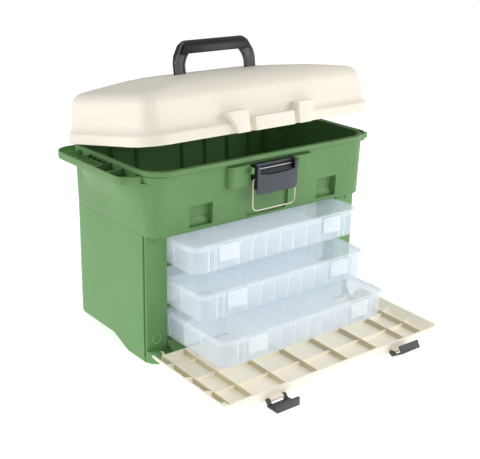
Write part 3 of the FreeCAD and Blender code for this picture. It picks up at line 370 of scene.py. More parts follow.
# ================================================================= lower case
def build_case():
    def zlow(y):
        return 0.0 if y < -45 else min(17.0, (y + 45) * 17.0 / 45.0)
    plan = subdiv(rr(448, 240, 26, n=10), 12)

    def ring(inset, dz):
        k = (448 - 2 * inset) / 448, (240 - 2 * inset) / 240
        return [(x * k[0], y * k[1], zlow(y) + dz) for x, y in plan]
    g = Geo()
    rings = [ring(5.0, 0.0), ring(3.0, 0.2), ring(1.5, 1.0), ring(0.45, 2.6), ring(0, 5)]
    rings.append([(x, y, 30.0) for x, y in plan])
    rings.append([(x, y, 217.0) for x, y in plan])
    g.loft(rings)
    o = to_object(g, "case_shell")
    # bays
    bay = Geo().loft([[(x, y, z) for x, y in rr(442, 210, 23, cy=12.0, n=8)] for z in (29.7, 225)])
    boolean(o, bay)
    boolean(o, Geo().box(-183, 183, -130, -85, 29.7, 225))
    # sill and setbacks
    boolean(o, Geo().prism([(-130, 8.2), (-121, 15.0), (-119.6, 15.4), (-102, 28.2), (-102, 40), (-130, 40)], -183, 183, "x"))
    for s in (-1, 1):
        xa, xb = sorted((s * 183, s * 240))
        r = 7.0
        # post front
        boolean(o, Geo().box(xa, xb, -130, -101.5, 22, 225))
        xa, xb = sorted((s * 182.5, s * 205))
        boolean(o, Geo().box(xa, xb, -130, -101.5, 14, 23))
        xa, xb = sorted((s * 222, s * 240))
        boolean(o, Geo().box(xa, xb, -130, -97, -2, 225))
        xa, xb = sorted((s * 220.4, s * 240))
        boolean(o, Geo().box(xa, xb, -97.1, -95.4, 12, 225))
        # hinge socket
        boolean(o, Geo().cyl("x", (-112, 14.5), 3.05, *sorted((s * 204, s * 219.5)), n=20))
        boolean(o, Geo().box(*sorted((s * 197.8, s * 205.0)), -122, -101.5, 4.5, 16))
    # cored underside
    for ya, yb in ((-96, -50), (8, 54), (57, 75)):
        c = Geo()
        for k in range(8):
            c.box(-206 + 52 * k, -158 + 52 * k, ya, yb, -3, 26.5)
        boolean(o, c)
    soften(o, 1.1, 3)
    extra = Geo()
    for s in (-1, 1):
        for top in (157.7, 86.7):
            extra.box(*sorted((s * 150, s * 184)), -93, 118.5, top - 4, top)
        extra.box(*sorted((s * 183, s * 185.5)), -94, 118.5, 29, 216.9)
        extra.box(*sorted((s * 124, s * 176)), 78, 100, 0, 27)
    extra.box(-35, 35, -49, 7, 0, 18)
    e = soften(to_object(extra, "case_extra"), 0.6, 2)
    # raised rings on the posts
    rings = Geo()
    for s in (-1, 1):
        n = 48
        prof = [(9.2, 0.2), (8.7, -1.3), (7.3, -1.3), (6.8, 0.2)]
        v, f = [], []
        for q in range(n):
            a = 2 * math.pi * q / n
            for r, dy in prof:
                v.append((s * 204 + r * math.cos(a), -101.4 + dy, 40 + r * math.sin(a)))
        for q in range(n):
            for k in range(4):
                f.append([q * 4 + k, q * 4 + (k + 1) % 4, ((q + 1) % n) * 4 + (k + 1) % 4, ((q + 1) % n) * 4 + k])
        rings.add(v, f)
    r = smooth(to_object(rings, "case_rings"), 40)
    # the post rings are painted the lighter green as a painted highlight
    paint(r, GREEN_RING_HIGHLIGHT)
    o = join("case_shell", [paint(x, GREEN) for x in (o, e)] + [r])
    dark_inside(o, lambda x, y, z, nr: 29.0 < z < 216.8 and y > -92.5 and in_rr(x, y, 445, 237, 24.5), GREEN_IN)
    place(o, "case", "green_plastic", "lower_case")
    return o


# ================================================================== upper bin
def build_bin():
    def R(w, d, r, z, cy=-1.5):
        return [(x, y, z) for x, y in rr(w, d, r, cy=cy, n=12)]
    rings = [R(447.0, 242.0, 25.5, 216.95), R(447.6, 242.6, 25.8, 217.1), R(448, 243, 26, 217.5)]
    for z in (240, 262, 284, 304, 312.6, 313.2):
        t = (z - 217) / 99.5
        rings.append(R(448 + 6 * t, 243 + 6 * t, 26 + 4 * t, z))
    rings += [R(454, 249, 30, 315.0), R(455.0, 250.0, 30.5, 315.5), R(460.4, 261.0, 44.4, 315.6), R(461.0, 261.8, 44.8, 315.9),
              R(461.4, 262, 45, 316.6), R(461.4, 262, 45, 322.0), R(461.0, 261.6, 44.8, 322.7), R(460.0, 260.6, 44.0, 323.0),
              R(450.2, 245.2, 39.1, 323.0), R(449.0, 244.0, 38.5, 322.7), R(448.2, 243.2, 38.1, 321.8), R(448, 243, 38, 320.4)]
    for z in (300, 280, 260, 240, 228):
        t = (320.4 - z) / 96.0
        rings.append(R(448 - 6 * t, 243 - 6 * t, 38 - 15 * t, z))
    rings += [R(441.0, 236.0, 22.5, 225.6), R(438.5, 233.5, 21.5, 224.3), R(434, 229, 20, 224.0)]
    o = to_object(Geo().loft(rings), "bin_shell")
    # housings on the inside for the latch recess and the catch pockets
    back = Geo()
    back.box(-48.5, 48.5, -123.0, -116.0, 223.0, 314.0)
    for s in (-1, 1):
        back.box(s * 133 - 25, s * 133 + 25, -122.5, -109.5, 223.0, 261.5)
    boolean(o, back, "UNION")
    # raised bosses each side of the latch, rounded on the outside
    boss = Geo()
    bp = [(46, -120), (46, -137.0), (76, -137.0)] + arc_pts(77.0, -127.5, 9.5, -80, 0, 6) + [(87.5, -120)]
    boss.prism(bp, 277.5, 311.5, "z")
    boss.prism([(-x, y) for x, y in reversed(bp)], 277.5, 311.5, "z")
    for s in (-1, 1):
        boss.box(*sorted((s * 46, s * 52)), -146.5, -135, 299, 309)
    boolean(o, boss, "UNION")
    # latch recess, slightly splayed, open at its foot
    boolean(o, Geo().prism([(-46, 309.5), (-46, 229), (-40, 221.5), (40, 221.5), (46, 229), (46, 309.5)], -160, -118.5, "y"))
    for s in (-1, 1):
        cx = s * 133
        boolean(o, Geo().box(cx - 22.5, cx + 22.5, -130, -112, 223.6, 259))
    soften(o, 1.3, 3, angle=38)
    g = Geo()
    for s in (-1, 1):
        cx = s * 133
        g.prism([(-111.5, 223), (-115.8, 223.3), (-115.8, 228.5), (-112.6, 236.0), (-111.5, 236.5)], cx - 22.8, cx + 22.8, "x")
    # stiffening ribs in pairs up the inside of the back wall
    for x in (-190, -148, -97, 0, 51.5, 103, 154, 190):
        for dx in (-2.6, 1.0):
            g.prism([(118.6, 223.5), (114.2, 223.5), (116.5, 305), (120.8, 309)], x + dx, x + dx + 1.6, "x")
    # hinge knuckles
    for x in (-185, -66, 46, 165):
        g.prism([(124, 317.8), (136.5, 313.05)] + arc_pts(136.5, 318, 4.98, -90, 90, 12) + [(124, 322.8)], x, x + 20, "x")
    e = soften(to_object(g, "bin_extra"), 0.5, 2)
    # end lugs: an outer loop, cross ribs, and a webbed middle
    lug = Geo()
    path = [(-226.5, -102), (-233, -102)] + arc_pts(-233, -74, 28, -90, -180, 10) + arc_pts(-233, 89, 28, 180, 90, 10) + [(-222, 117), (-211, 117)]
    lug.strip(path, -2.6, 303.0, 315.0)
    for y in (-91, -50, -12, 47, 82):
        lug.prism([(-259.6, 303.6), (-259.6, 314.5), (-233.4, 314.7), (-230.6, 317.6), (-225.6, 317.6), (-225.6, 303.6)], y - 1.25, y + 1.25, "y")
    lug.box(-259.5, -225.6, -11.5, 46.5, 303.2, 305.2)
    for y in (2.75, 17.5, 32.25):
        lug.box(-259.5, -225.6, y - 0.8, y + 0.8, 305, 314.2)
    for k in range(4):
        ya = -12 + k * 14.75
        for (xa, y0), (xb, y1) in (((-258.5, ya), (-240, ya + 14.7)), ((-240, ya), (-258.5, ya + 14.7))):
            n = Vector((-(y1 - y0), xb - xa)).normalized() * 0.8
            lug.prism([(xa - n.x, y0 - n.y), (xb - n.x, y1 - n.y), (xb + n.x, y1 + n.y), (xa + n.x, y0 + n.y)], 305.0, 314.0, "z")
    lug.box(-240.8, -239.2, -12, 47, 305, 314.2)
    # the side wall swells outwards to carry the middle of the lug, and dies
    # away into the wall at its front and foot
    def wall_x(y, z):
        t = (z - 217) / 99.5
        rc, hd = 26 + 4 * t, 121.5 + 3 * t
        yc = -1.5 - hd + rc
        w = 224 + 3 * t
        return w if y > yc else w - rc + math.sqrt(max(rc * rc - (yc - y) ** 2, 0.0))
    rings = []
    ys = list(range(-118, 95, 4)) + [94]
    for y in ys:
        u = min((y + 118) / 66.0, (94 - y) / 66.0, 1.0)
        amp = u * u * (3 - 2 * u)
        ring = []
        for k in range(15):
            z = 303.9 - k * 6.0
            f = min(max((z - 219.9) / 84.0, 0.0), 1.0) ** 2.6
            out = -0.35 + (260.6 - 227.0 + 0.35) * amp * f
            ring.append((-(wall_x(y, z) + out), y, z))
        ring += [(-wall_x(y, 219.9) + 2.0, y, 219.5), (-wall_x(y, 303.9) + 2.0, y, 303.9)]
        rings.append(ring)
    lug.loft(rings)
    lug.mirror_x()
    u = soften(to_object(lug, "bin_lugs"), 0.55, 2, angle=36)
    o = join("bin_shell", [paint(x, GREEN_BIN) for x in (o, e, u)])
    dark_inside(o, lambda x, y, z, nr: 222 < z < 320.5
                and in_rr(x, y, 445.2 + 6 * (z - 217) / 99.5, 240.2 + 6 * (z - 217) / 99.5, 24.6 + 4 * (z - 217) / 99.5, -1.5)
                and not (y < -115 and abs(x) < 47 and nr.y < 0.3) and not (y < -111.5 and 109 < abs(x) < 157 and z < 260), GREEN_IN)
    # painted shadow: the front wall just under the rim flange is painted a dark green band
    dark_inside(o, lambda x, y, z, nr: 313.1 < z < 315.7 and y < -100 and nr.z < 0.5 and not in_rr(x, y, 449, 243.5, 30, -1.5) and not (abs(x) < 90 and y < -126), GREEN_FLANGE_SHADOW)
    place(o, "case", "green_plastic", "upper_bin")
    return o


# ======================================================================== lid
HY, HZ, OPEN = 136.5, 318.0, math.radians(10.5)


def opened(x, y, z):
    y, z = y - HY, z - HZ
    return (x, HY + y * math.cos(OPEN) + z * math.sin(OPEN), HZ - y * math.sin(OPEN) + z * math.cos(OPEN))


def smin(vals, k):
    m = min(vals)
    return m - k * math.log(sum(math.exp(-(v - m) / k) for v in vals)) + 0.0


def roof(x, y):
    ax = abs(x)
    side = 411.5 - 0.02 * ax if ax < 112 else 411.5 - 2.24 - 0.122 * (ax - 112)
    side = smin([411.6, 407.5 + 0.156 * (112 - ax) + 2.0], 1.2)
    front = smin([407.5 + (y + 86) * 0.045, 401.5 + (y + 104) * 0.56], 2.2)
    back = smin([411.8 - (y - 60) * 0.10, 402 + (99 - y) * 0.54], 2.2)
    return smin([side, front, back], 1.6)


def build_lid():
    W, D0, CY = 477.0, 269.5, -2.25

    def rad(i):
        return 46 - 1.8 * i if i < 10 else max(28 - 0.9 * (i - 10), 4.0)

    def outline(inset):
        """The same number of points for every inset."""
        p = rr(W - 2 * inset, D0 - 2 * inset, rad(inset), cy=CY, n=14)
        out = []
        for q in range(4):
            c = p[q * 15:(q + 1) * 15]
            nx = p[((q + 1) % 4) * 15]
            out += c
            k = 18 if q % 2 else 9
            k = 9 if q in (0, 2) else 18
            for j in range(1, k + 1):
                t = j / (k + 1)
                out.append((c[-1][0] + (nx[0] - c[-1][0]) * t, c[-1][1] + (nx[1] - c[-1][1]) * t))
        return out

    def flat(inset, z):
        return [(x, y, z) for x, y in outline(inset)]

    def under(inset, h):
        return [(x, y, roof(x, y) - h) for x, y in outline(inset)]

    def wall(t, inset, low, h):
        out = []
        for x, y in outline(inset):
            top = roof(x, y) - h
            out.append((x, y, low + (top - low) * t))
        return out
    outer = [flat(0.5, 316.0), flat(0.1, 316.4), flat(0.0, 317.2), flat(0.3, 323), flat(0.7, 329.6), flat(1.0, 331.2), flat(1.9, 332.4), flat(3.8, 334.2), flat(5.8, 336.8),
             flat(7.6, 340.4), flat(9.0, 345.0), flat(9.8, 350.0)]
    for t in (0.2, 0.45, 0.7, 0.92):
        outer.append(wall(t, 9.9 + 3.5 * t, 350.0, 18))
    r = 18.0
    for a in range(0, 91, 10):
        a = math.radians(a)
        outer.append(under(13.4 + r * (1 - math.cos(a)), r * (1 - math.sin(a))))
    for i in (34, 41, 50, 62, 76, 92, 108, 122, 130):
        outer.append(under(i, 0))
    inner = [under(i + 1.0 if i < 130 else i, 3.0) for i in (130, 122, 108, 92, 76, 62, 50, 41, 35)]
    for a in range(90, -1, -15):
        a = math.radians(a)
        inner.append(under(16.4 + (r - 3) * (1 - math.cos(a)), 3 + (r - 3) * (1 - math.sin(a))))
    for t in (0.92, 0.6, 0.3, 0.08):
        inner.append(wall(t, 13.0 + 3.4 * t, 349.0, 18))
    inner += [flat(12.9, 348.0), flat(11.4, 343.0), flat(9.0, 337.0), flat(6.2, 333.2), flat(3.9, 329), flat(3.0, 322), flat(2.6, 316.4)]
    rings = outer[::-1] + inner[::-1]
    g = Geo().loft(rings)
    o = to_object(g, "lid_shell")
    # step relief over the rear rim
    boolean(o, Geo().box(-232, 232, 124, 160, 300, 324))
    # latch block and its two posts
    blk = Geo()
    blk.prism([(-126, 316.2), (-147.0, 316.2), (-147.0, 338.0), (-138.0, 338.6), (-134.0, 336), (-126, 336)], -40, 40, "x")
    boolean(o, blk, "UNION")
    boolean(o, Geo().prism([(-156, 338.05), (-139.0, 338.6), (-137.2, 345.4), (-156, 345.4)], -46.0, 46.0, "x"))
    posts = Geo()
    pp = [(51.5, 316.2), (75.5, 316.2), (76.6, 322), (78.8, 330), (83.2, 339), (88.6, 346.6), (90.2, 350.4), (51.5, 351.0)]
    posts.prism(pp, -146.0, -124.0, "y")
    posts.prism([(-x, z) for x, z in reversed(pp)], -146.0, -124.0, "y")
    boolean(o, posts, "UNION")
    # the block and posts stop in front of the bin's rim, which passes behind them when the lid is shut
    boolean(o, Geo().box(-95, 95, -133.4, -112, 311, 325))
    soften(o, 1.0, 3, angle=40, shade=38)
    h = Geo()
    for x in (-164, -90, 70, 144):
        h.prism([(128, 324.4), (128, 333), (138.5, 331.5), (141.4, 327), (141.45, 318)] + arc_pts(136.5, 318, 4.97, 0, -180, 12) + [(131.55, 324.2)], x, x + 20, "x")
    for s in (-1, 1):
        cx = s * 73.5
        # rim and floor of the handle's socket
        h.box(cx - 13.8, cx - 12, -9.5, 31.5, 392, 407.2)
        h.box(cx + 12, cx + 13.8, -9.5, 31.5, 392, 407.2)
        h.box(cx - 13.8, cx + 13.8, -9.8, -8.0, 392, 407.0)
        h.box(cx - 13.8, cx + 13.8, 30.0, 31.8, 392, 408.0)
        h.box(cx - 13.8, cx + 13.8, -9.8, 31.8, 391, 393.8)
    e = soften(to_object(h, "lid_extra"), 0.5, 2)
    for s in (-1, 1):
        cx = s * 73.5
        boolean(o, Geo().box(cx - 12, cx + 12, -8, 30, 394, 420))
    smooth(o, 38)
    o = join("lid_shell", [paint(x, CREAM) for x in (o, e)])
    o.data.transform(Matrix.Translation((0, 0, 0)))
    for v in o.data.vertices:
        x, y, z = v.co / MM
        v.co = Vector(opened(x, y, z)) * MM
    place(o, "lid", "cream_plastic", "lid_shell")
    return o


# ===================================================================== handle
def build_handle():
    ax, top = 402.5, 464.0
    # legs: channels with a web and two flanges, thinner at the foot
    legs = Geo()
    outer = [(82.0, 396.9), (83.0, 428.5), (80.2, 440.5), (70.2, 457.0), (59.5, 463.4)]
    inner = [(64.0, 396.9), (64.0, 424.5), (61.0, 433.0), (54.5, 442.5), (50.0, 447.0)]
    legs.prism([(x - 3.4 if i < 4 else x - 2.0, z - (0 if i < 2 else 1.6)) for i, (x, z) in enumerate(outer)] + inner[::-1], -3.4, 3.4, "y")
    for ya, yb in ((-5, -3.0), (3.0, 5)):
        legs.prism(outer + [(x - 3.6, z - (0.0 if i in (0, 1) else 2.4)) for i, (x, z) in reversed(list(enumerate(outer)))], ya, yb, "y")
        legs.prism([(x + 3.2, z + (0.0 if i in (0, 1) else 1.5)) for i, (x, z) in enumerate(inner)] + inner[::-1], ya, yb, "y")
        legs.prism([(64.2, 396.9), (82.0, 396.9), (82.3, 408.0), (64.2, 408.0)], ya, yb, "y")
    legs.prism([(64.3, 409.5), (82.1, 409.5), (82.2, 411.5), (64.3, 411.5)], -4.6, 4.6, "y")
    legs.mirror_x()
    lg = soften(to_object(legs, "handle_legs"), 0.7, 2)
    # grip: a half-round bar over the bow, both ends cut on a slant
    sec = [(math.cos(math.radians(a)), math.sin(math.radians(a))) for a in range(-6, 187, 8)]
    rings = []
    for foot, k, drop in ((-70.5, 0.90, 1.2), (-70.0, 0.96, 0.4), (-68.8, 1.0, 0.0), (-50, 1.0, 0.0), (0, 1.0, 0.0), (50, 1.0, 0.0), (68.8, 1.0, 0.0), (70.0, 0.96, 0.4), (70.5, 0.90, 1.2)):
        ring = []
        pts = [(c * 13.45 * k, 450.5 + max(sn, -0.1) * 13.45 * k) for c, sn in sec]
        pts += [(-13.45 * k, 443.5 + drop), (-12.0 * k, 442.0 + drop), (12.0 * k, 442.0 + drop), (13.45 * k, 443.5 + drop)]
        for y, zz in pts:
            shift = 11.0 * (zz - 442.0) / 22.0
            sx = -1 if foot < 0 else (1 if foot > 0 else 0)
            lean = 1.0 if abs(foot) > 60 else (0.5 if foot else 0.0)
            ring.append((foot - sx * shift * lean, y, zz))
        rings.append(ring)
    gr = to_object(Geo().loft(rings), "handle_grip")
    soften(gr, 0.5, 2, angle=50, shade=40)
    paint(lg, CHARCOAL_LEG)
    paint(gr, CHARCOAL)
    o = join("carry_handle_look", [gr, lg])
    # painted shade: the left leg's channel web and the inner faces at the grip's left end are painted near-black
    dark_inside(o, lambda x, y, z, nr: (nr.x < -0.6 and x < -60 and z < 458 and abs(y) < 3.3) or (nr.x < -0.5 and x < -55 and z > 441.5 and abs(y) < 13.2), CHARCOAL_PAINTED_SHADE)
    for v in o.data.vertices:
        x, y, z = v.co / MM
        v.co = Vector(opened(x, y, z)) * MM
    place(o, "handle", "charcoal_plastic", "carry_handle")
    return o


# ================================================================= draw latch
def build_lever():
    g = Geo()
    # the pull plate: flat, with rounded lower corners
    n = 14
    outl = [(-42.0, 300.0), (-42.0, 271)] + arc_pts(-35.5, 269.6, 6.5, 180, 270, 6)[1:] + arc_pts(35.5, 269.6, 6.5, 270, 360, 6) + [(42.0, 271), (42.0, 300.0), (37.0, 300.0), (36.0, 296.6), (18, 294.4), (0, 293.8), (-18, 294.4), (-36.0, 296.6), (-37.0, 300.0)]
    g.prism(outl, -150.0, -147.2, "y")
    for s in (-1, 1):
        cheek = [(-149.6, 272), (-149.8, 305.5), (-148.6, 309.2), (-145.2, 311.4), (-133.5, 311.4), (-130.4, 309.6), (-129.6, 306), (-129.6, 297), (-134.8, 283), (-142.0, 271)]
        g.prism(cheek, *sorted((s * 42.0, s * 38.4)), "x")
        # rolled front edge of each cheek
        g.prism([(s * 42, 299), (s * 42, 308.5), (s * 40.6, 310.6), (s * 36.6, 310.6), (s * 36.6, 299)], -150.0, -146.8, "y")
    g.prism([(-138.8, 306.4), (-138.8, 311.2), (-132.0, 311.2), (-132.0, 306.4)], -38.8, 38.8, "x")
    o = soften(to_object(g, "lever_plate"), 0.7, 3)
    paint(o, SLATE)
    # painted shadow: faces behind the front plate that do not face forward are painted near-black
    dark_inside(o, lambda x, y, z, nr: y > -146.4 and nr.y > -0.4, SLATE_PAINTED_SHADOW)
    # the web between the cheeks is painted all in the near-black as painted shadow
    d = Geo()
    d.prism([(-146.5, 290), (-146.5, 296.0), (-138.5, 306.0), (-137.0, 306.0), (-143.5, 290)], -38.2, 38.2, "x")
    d = paint(soften(to_object(d, "lever_web"), 0.4, 2), SLATE_PAINTED_SHADOW)
    o = join("latch_lever_look", [o, d])
    for v in o.data.vertices:
        # the loop leaves the foot of the plate as it is
        z = v.co.z / MM
        if z < 280:
            pass
    place(o, "lever", "slate_plastic", "main_latch_lever")
    return o


def build_bail():
    by, bz, bh, low = -142.0, 288.0, 44.6, 235.0
    path = [(-40.6, by, bz), (-42.6, by, bz)] + [(x, by, z) for x, z in arc_pts(-42.2, bz - 2.4, 2.4, 90, 180, 6)]
    path += [(-bh, by, 270.0), (-bh, by, 250)] + [(x, by, z) for x, z in arc_pts(-bh + 10, low + 10, 10, 180, 270, 12)]
    path += [(-20, by, low), (20, by, low)] + [(x, by, z) for x, z in arc_pts(bh - 10, low + 10, 10, 270, 360, 12)]
    path += [(bh, by, 250), (bh, by, 270.0)] + [(x, by, z) for x, z in arc_pts(42.2, bz - 2.4, 2.4, 0, 90, 6)] + [(42.6, by, bz), (40.6, by, bz)]
    o = paint(smooth(to_object(Geo().tube(path, 1.2, 14), "latch_wire"), 60), WIRE)
    place(o, "bail", "bright_wire", "latch_bail")
    return o


# ======================================================================= door
def build_door():
    lean = (231.5 - 214.5) / 22.0

    def side(z):
        return 214.5 + lean * (z - 8.0)
    # pan: skin and leaning side walls in one, its foot edges well rounded
    sec = [(-side(30.0), 30.0), (-side(14.0), 14.0), (-214.2, 10.6), (-210.4, 8.5), (-206, 8.0), (206, 8.0), (210.4, 8.5), (214.2, 10.6), (side(14.0), 14.0), (side(30.0), 30.0),
           (side(30.0) - 3.0, 30.0), (side(14.0) - 3.4, 14.0), (210.2, 11.6), (207.5, 11.0), (-207.5, 11.0), (-210.2, 11.6), (-side(14.0) + 3.4, 14.0), (-side(30.0) + 3.0, 30.0)]
    o = to_object(Geo().prism(sec, -310.5, -121.5, "y"), "door_pan")
    # front lip, its foot drawn back in a wide round
    rings = []
    for z, y, inset in ((8.05, -302.0, 6.0), (8.2, -305.6, 3.4), (9.4, -309.2, 1.4), (11.6, -311.8, 0.5), (14.6, -312.9, 0.0), (20.0, -313.0, 0.0), (27.4, -313.0, 0.0), (28.0, -312.4, 0.6), (28.0, -310.8, 1.6)):
        w = side(max(z, 10.6)) - inset
        r = 6.0
        ring = [(-w, -299.0 if z < 9 else -302.0, z), (-w, y + r, z)]
        ring += [(-w + r - r * math.cos(math.radians(t)), y + r - r * math.sin(math.radians(t)), z) for t in (22, 45, 68, 90)]
        ring += [(w - r + r * math.cos(math.radians(t)), y + r - r * math.sin(math.radians(t)), z) for t in (90, 68, 45, 22)]
        ring += [(w, y + r, z), (w, -299.0 if z < 9 else -302.0, z)]
        rings.append(ring)
    lip = to_object(Geo().loft(rings), "door_lip")
    boolean(lip, Geo().loft([[(-206.5, -309.8, 11.0), (206.5, -309.8, 11.0), (206.5, -290, 11.0), (-206.5, -290, 11.0)],
                             [(-222.5, -310.2, 31.0), (222.5, -310.2, 31.0), (222.5, -290, 31.0), (-222.5, -290, 31.0)]]))
    boolean(o, lip, "UNION")
    for s in (-1, 1):
        # the end of each wall is rounded off towards the hinge
        boolean(o, Geo().prism([(-118, 40), (-140, 40), (-130, 30.2), (-124.4, 26.5), (-121.8, 21.0), (-118, 19)], *sorted((s * 205.0, s * 240)), "x"))
    soften(o, 0.9, 3, angle=27)
    ribs = Geo()
    for cx in (-207, -165, -99, -33, 33, 99, 165, 207):
        ribs.loft([[(cx - 2.2, -121.9, 10.6), (cx + 2.2, -121.9, 10.6), (cx + 2.2, -310.6, 10.6), (cx - 2.2, -310.6, 10.6)],
                   [(cx - 1.2, -123.0, 20.0), (cx + 1.2, -123.0, 20.0), (cx + 1.2, -310.6, 20.0), (cx - 1.2, -310.6, 20.0)]])
    for y in (-257, -207, -157):
        ribs.loft([[(-212, y - 2.4, 10.6), (212, y - 2.4, 10.6), (212, y + 2.2, 10.6), (-212, y + 2.2, 10.6)],
                   [(-215, y - 1.5, 16.5), (215, y - 1.5, 16.5), (215, y + 1.3, 16.5), (-215, y + 1.3, 16.5)]])
        for s in (-1, 1):
            # the bars run up the side walls as small fins
            ribs.prism([(s * 208, 12), (s * 209, 20.0), (s * 222.2, 24.5), (s * 222.2, 20), (s * 214, 12)], y - 1.2, y + 1.2, "y")
    for s in (-1, 1):
        for y in (-284, -232, -182, -138):
            ribs.prism([(s * 211, 12), (s * 213, 16.5), (s * 219.6, 20.5), (s * 214, 12)], y - 0.9, y + 0.9, "y")
    ribs.prism([(-121.6, 8.4), (-121.6, 19.2), (-123.8, 19.2), (-124.6, 11.0), (-124.6, 8.4)], -208, 208, "x")
    for s in (-1, 1):
        xa, xb = sorted((s * 199.2, s * 203.4))
        ribs.prism([(-127.5, 8.6), (-127.5, 12.5), (-121.6, 15.5), (-118.5, 18.2)] + arc_pts(-112, 14.5, 5.6, 118, -72, 14) + [(-113, 8.6)], xa, xb, "x")
    rb = soften(to_object(ribs, "door_ribs"), 0.7, 2)
    t = Geo()
    for s in (-1, 1):
        cx = s * 133
        t.prism([(-309.6, 9.6), (-309.6, 14.9), (-316.5, 14.75)] + arc_pts(-316.6, 11.6, 3.15, 90, 270, 10) + [(-316.5, 8.45)], cx - 13, cx + 13, "x")
    tg = soften(to_object(t, "door_tongues"), 0.6, 2)
    o = join("door_look", [paint(x, CREAM_DOOR) for x in (o, rb, tg)])
    # painted shade: the -X faces of the door's ribs take the darker tan cream
    dark_inside(o, lambda x, y, z, nr: nr.x < -0.7 and abs(x) < 212 and z > 10.8 and -310 < y < -124, CREAM_PAINTED_SHADE)
    # the open door hangs a little below level, its free edge near the floor
    c, d = math.cos(math.radians(1.5)), math.sin(math.radians(1.5))
    for v in o.data.vertices:
        y, z = v.co.y / MM + 112.0, v.co.z / MM - 14.5
        v.co.y, v.co.z = (-112.0 + y * c - z * d) * MM, (14.5 + y * d + z * c) * MM
    place(o, "door", "cream_plastic", "front_door")
    return o


def build_door_latch(side):
    s = -1 if side == "left" else 1
    cx, ay, az = s * 133, -316.454, 6.2452
    g = Geo()
    g.prism([(-345.0, 0.5), (-345.0, 13.0), (-344.2, 14.0), (-341.1, 14.0), (-341.1, 11.7), (-342.2, 11.4), (-342.3, 3.2), (ay - 6.0, 3.1), (ay - 3.8, 2.7), (ay - 3.8, 0.5)], cx - 22, cx + 22, "x")
    for q in (-1, 1):
        xa, xb = sorted((cx + q * 13.7, cx + q * 18.4))
        g.prism([(ay - 7.6, 0.7), (ay - 7.6, 4.4), (ay - 3.2, az + 2.7)] + arc_pts(ay, az, 4.15, 120, -60, 12) + [(ay - 0.4, 0.8)], xa, xb, "x")
    if s > 0:
        c, d = math.cos(math.radians(32)), math.sin(math.radians(32))
        g.map(lambda x, y, z: (x, ay + (y - ay) * c + (z - az) * d, az - (y - ay) * d + (z - az) * c))
    o = soften(to_object(g, "door_latch_" + side + "_look"), 0.6, 2)
    paint(o, GREY)
    place(o, "door_latch_" + side[0], "slate_plastic", "door_latch_" + side)
    return o


# ====================================================================== trays
TRAYS = {"top": (-166.0, 158.0), "middle": (-189.0, 87.0), "bottom": (-242.5, 30.0)}


